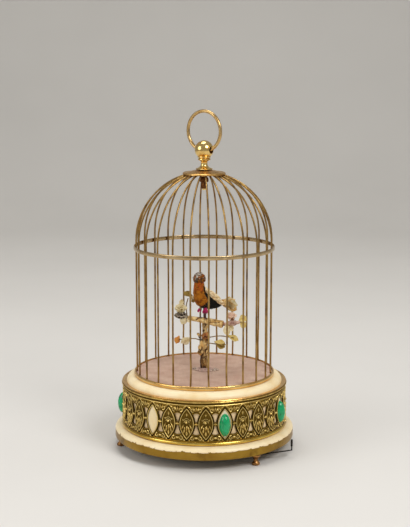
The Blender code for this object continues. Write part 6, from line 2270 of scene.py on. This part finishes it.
@dataclass
class Underside(Assembly):
    """Bottom plate and start lever, which show only from below or beside the base."""

    plate_radius: float = 0.0657
    plate_low: float = 0.0093
    plate_high: float = 0.0105
    key_spot: tuple = (-0.026, 0.006)
    key_hole: float = 0.0021
    screw_azimuths: tuple = (90, 210, 330)
    screw_inset: float = 0.006
    pivot: tuple = (0.03001, -0.055734)
    tab_y: float = -0.0385
    tab_inset: float = 0.00085
    wire_radius: float = 0.0005

    def build(self) -> None:
        """Makes the plate, its screws and the lever."""
        self.build_plate()
        self.build_screws()
        self.build_lever()

    def build_plate(self) -> None:
        """Turns the plate with the key's hole and the lever's pivot pin."""
        low, high, edge = self.plate_low, self.plate_high, self.plate_radius
        plate = turned([(0, low), *section(edge, low, (-0.3, 0), (0, 0.3)), (edge, high), (0, high)], 128)
        drill = turned([(0, low - 0.001), (self.key_hole, low - 0.001), (self.key_hole, high + 0.001),
                        (0, high + 0.001)], 32)
        pin = turned(section(0, low, (0, -4.0), (0.95, -4.0), (1.05, -3.8), (1.0, 0.2), (0, 0.2)), 20)
        plate = cut(plate, [upright(drill, self.key_spot)])
        self.add("base_plate", joined([plate, upright(pin, self.pivot)]), PLAIN_STEEL, "plain_steel",
                 replaces=["bottom_plate"])

    def build_screws(self) -> None:
        """Turns the screws' heads and cuts their slots."""
        low = self.plate_low
        screws = []
        for azimuth in self.screw_azimuths:
            spot = direction(azimuth) * (self.plate_radius - self.screw_inset)
            head = turned(section(0, low, (0, -0.9), (1.4, -0.9), (2.0, -0.5), (2.2, 0), (0, 0)), 24)
            slot_cutter = bmesh.new()
            place = Matrix.Translation((0, 0, low - 0.0009)) @ Matrix.Diagonal((0.006, 0.0005, 0.0008, 1.0))
            bmesh.ops.create_cube(slot_cutter, size=1.0, matrix=place)
            screws.append(upright(cut(head, [slot_cutter]), spot.xy))
        self.add("plate_screws", joined(screws), PLAIN_STEEL, "plain_steel")

    def build_lever(self) -> None:
        """Bends the lever's wire from its hub to its upright grip."""
        low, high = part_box("start_lever")
        start = Vector((*self.pivot, low[2] + 0.0005))
        bend = Vector((high[0] - self.tab_inset, self.tab_y, start.z))
        out = (bend - start).normalized()
        path = eased([start + out * 0.0021, start.lerp(bend, 0.5), bend - out * 0.002,
                      *placed(bend, (0, 0, 0.6), (0, 0, 4.0))], 6)
        hub = section(0, 0, (1.3, 5.6), (2.0, 5.6), (2.2, 5.8), (2.2, 8.8), (2.0, 9.0), (1.3, 9.0))
        grip = section(0, 0, (0, 9.2), (0.6, 9.2), (0.85, 9.6), (0.85, 14.8), (0.6, 15.2), (0, 15.2))
        lever = joined([upright(turned(hub, 32), self.pivot), tube(path, self.wire_radius, 12),
                        upright(turned(grip, 20), bend.xy)])
        self.add("lever_wire", lever, BLUED_STEEL, "blued_steel", body=Body.LEVER, replaces=["start_lever"])


def dress_movement(shop: Workshop, frame: dict) -> None:
    """Gives the movement's own solids their finishes.

    Args:
        shop: the workshop.
        frame: the loaded frame.
    """
    for finish, nodes in (
        (BRASS_WORK, ("movement_frame", "spring_barrel", "cam_stack", "whistle")),
        (PLAIN_STEEL, ("governor_fly", "whistle_piston", "bird_rod", "winding_key")),
        (LEATHER, ("bellows",)),
        (BOARD, ("bellows_board",)),
    ):
        for node in nodes:
            shop.dress_node(frame, node, finish)


@dataclass
class Studio:
    """Pale sweep, soft lights and the camera."""

    lens: float = 85.35
    sensor_width: float = 36.0
    nearest: float = 0.01
    place: Point = (0.00067, -1.0144, 0.3291)
    pitch: float = 80.18
    sweep_front: float = -3.0
    sweep_foot: float = 1.2
    sweep_bend: float = 0.9
    sweep_steps: int = 12
    sweep_top: float = 3.0
    sweep_width: float = 8.0
    aim: Point = (0.0, 0.0, 0.12)
    room_strength: float = 0.55

    def build(self) -> None:
        """Sets up the stage, the lamps and the camera."""
        self.build_sweep()
        self.build_lights()
        camera = bpy.data.cameras.new("camera")
        camera.lens = self.lens
        camera.sensor_width = self.sensor_width
        camera.clip_start = self.nearest
        holder = bpy.data.objects.new("camera", camera)
        holder.location = self.place
        holder.rotation_euler = (math.radians(self.pitch), 0.0, 0.0)
        bpy.context.scene.collection.objects.link(holder)
        bpy.context.scene.camera = holder

    def build_sweep(self) -> None:
        """Lays a pale floor that rises into a backdrop."""
        bm = bmesh.new()
        section_line = [(self.sweep_front, 0.0), (self.sweep_foot, 0.0)]
        for step in range(1, self.sweep_steps + 1):
            angle = 0.5 * math.pi * step / self.sweep_steps
            section_line.append((self.sweep_foot + self.sweep_bend * math.sin(angle),
                                 self.sweep_bend - self.sweep_bend * math.cos(angle)))
        section_line.append((self.sweep_foot + self.sweep_bend, self.sweep_top))
        verts = [bm.verts.new((-self.sweep_width / 2, y, z)) for y, z in section_line]
        edges = [bm.edges.new(pair) for pair in zip(verts, verts[1:])]
        grown = bmesh.ops.extrude_edge_only(bm, edges=edges)["geom"]
        shifted = [item for item in grown if isinstance(item, bmesh.types.BMVert)]
        bmesh.ops.translate(bm, verts=shifted, vec=(self.sweep_width, 0, 0))
        bmesh.ops.recalc_face_normals(bm, faces=bm.faces)
        mesh = bpy.data.meshes.new("studio_floor")
        bm.to_mesh(mesh)
        bm.free()
        mesh.shade_smooth()
        material, tree, shader = start_finish("matt_studio_paper", Roughness=0.95)
        paint(tree, shader, blend(tree, patches(tree, 400.0, 0.3, 0.7), "#dcd9d4", "#e2dfda"))
        mesh.materials.append(material)
        floor = bpy.data.objects.new("studio_floor", mesh)
        bpy.context.scene.collection.objects.link(floor)

    def build_lights(self) -> None:
        """Hangs a large key lamp, a fill and a top lamp, in a pale room."""
        for name, place, size, power in (
            ("key_lamp", (0.75, -0.9, 1.15), 0.7, 11.0),
            ("fill_lamp", (-1.1, -0.6, 0.7), 0.9, 5.0),
            ("top_lamp", (-0.1, 0.25, 1.5), 0.8, 8.0),
        ):
            lamp = bpy.data.lights.new(name, "AREA")
            lamp.shape = "DISK"
            lamp.size = size
            lamp.energy = power
            holder = bpy.data.objects.new(name, lamp)
            holder.location = place
            holder.rotation_euler = (Vector(self.aim) - Vector(place)).to_track_quat("-Z", "Y").to_euler()
            bpy.context.scene.collection.objects.link(holder)
        world = bpy.data.worlds.new("room")
        world.use_nodes = True
        backdrop = world.node_tree.nodes["Background"]
        backdrop.inputs["Color"].default_value = linear("#d8d6d2")
        backdrop.inputs["Strength"].default_value = self.room_strength
        bpy.context.scene.world = world
        bpy.context.scene.view_settings.view_transform = "Standard"


def main() -> None:
    """Builds the scene: studio, base, cage, tree, bird and movement."""
    logging.basicConfig(level=logging.INFO, format="%(message)s")
    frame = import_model()
    shop = Workshop()
    drum = Drum(shop=shop)
    frieze = Frieze(drum, shop=shop)
    Studio().build()
    upper = [kind(shop=shop) for kind in (Cage, Finial, Tree, Bird, Underside)]
    for assembly in (Feet(shop=shop), Plinth(shop=shop), drum, frieze, Stones(frieze, shop=shop), *upper):
        assembly.build()
    dress_movement(shop, frame)


if __name__ == "__main__":
    main()
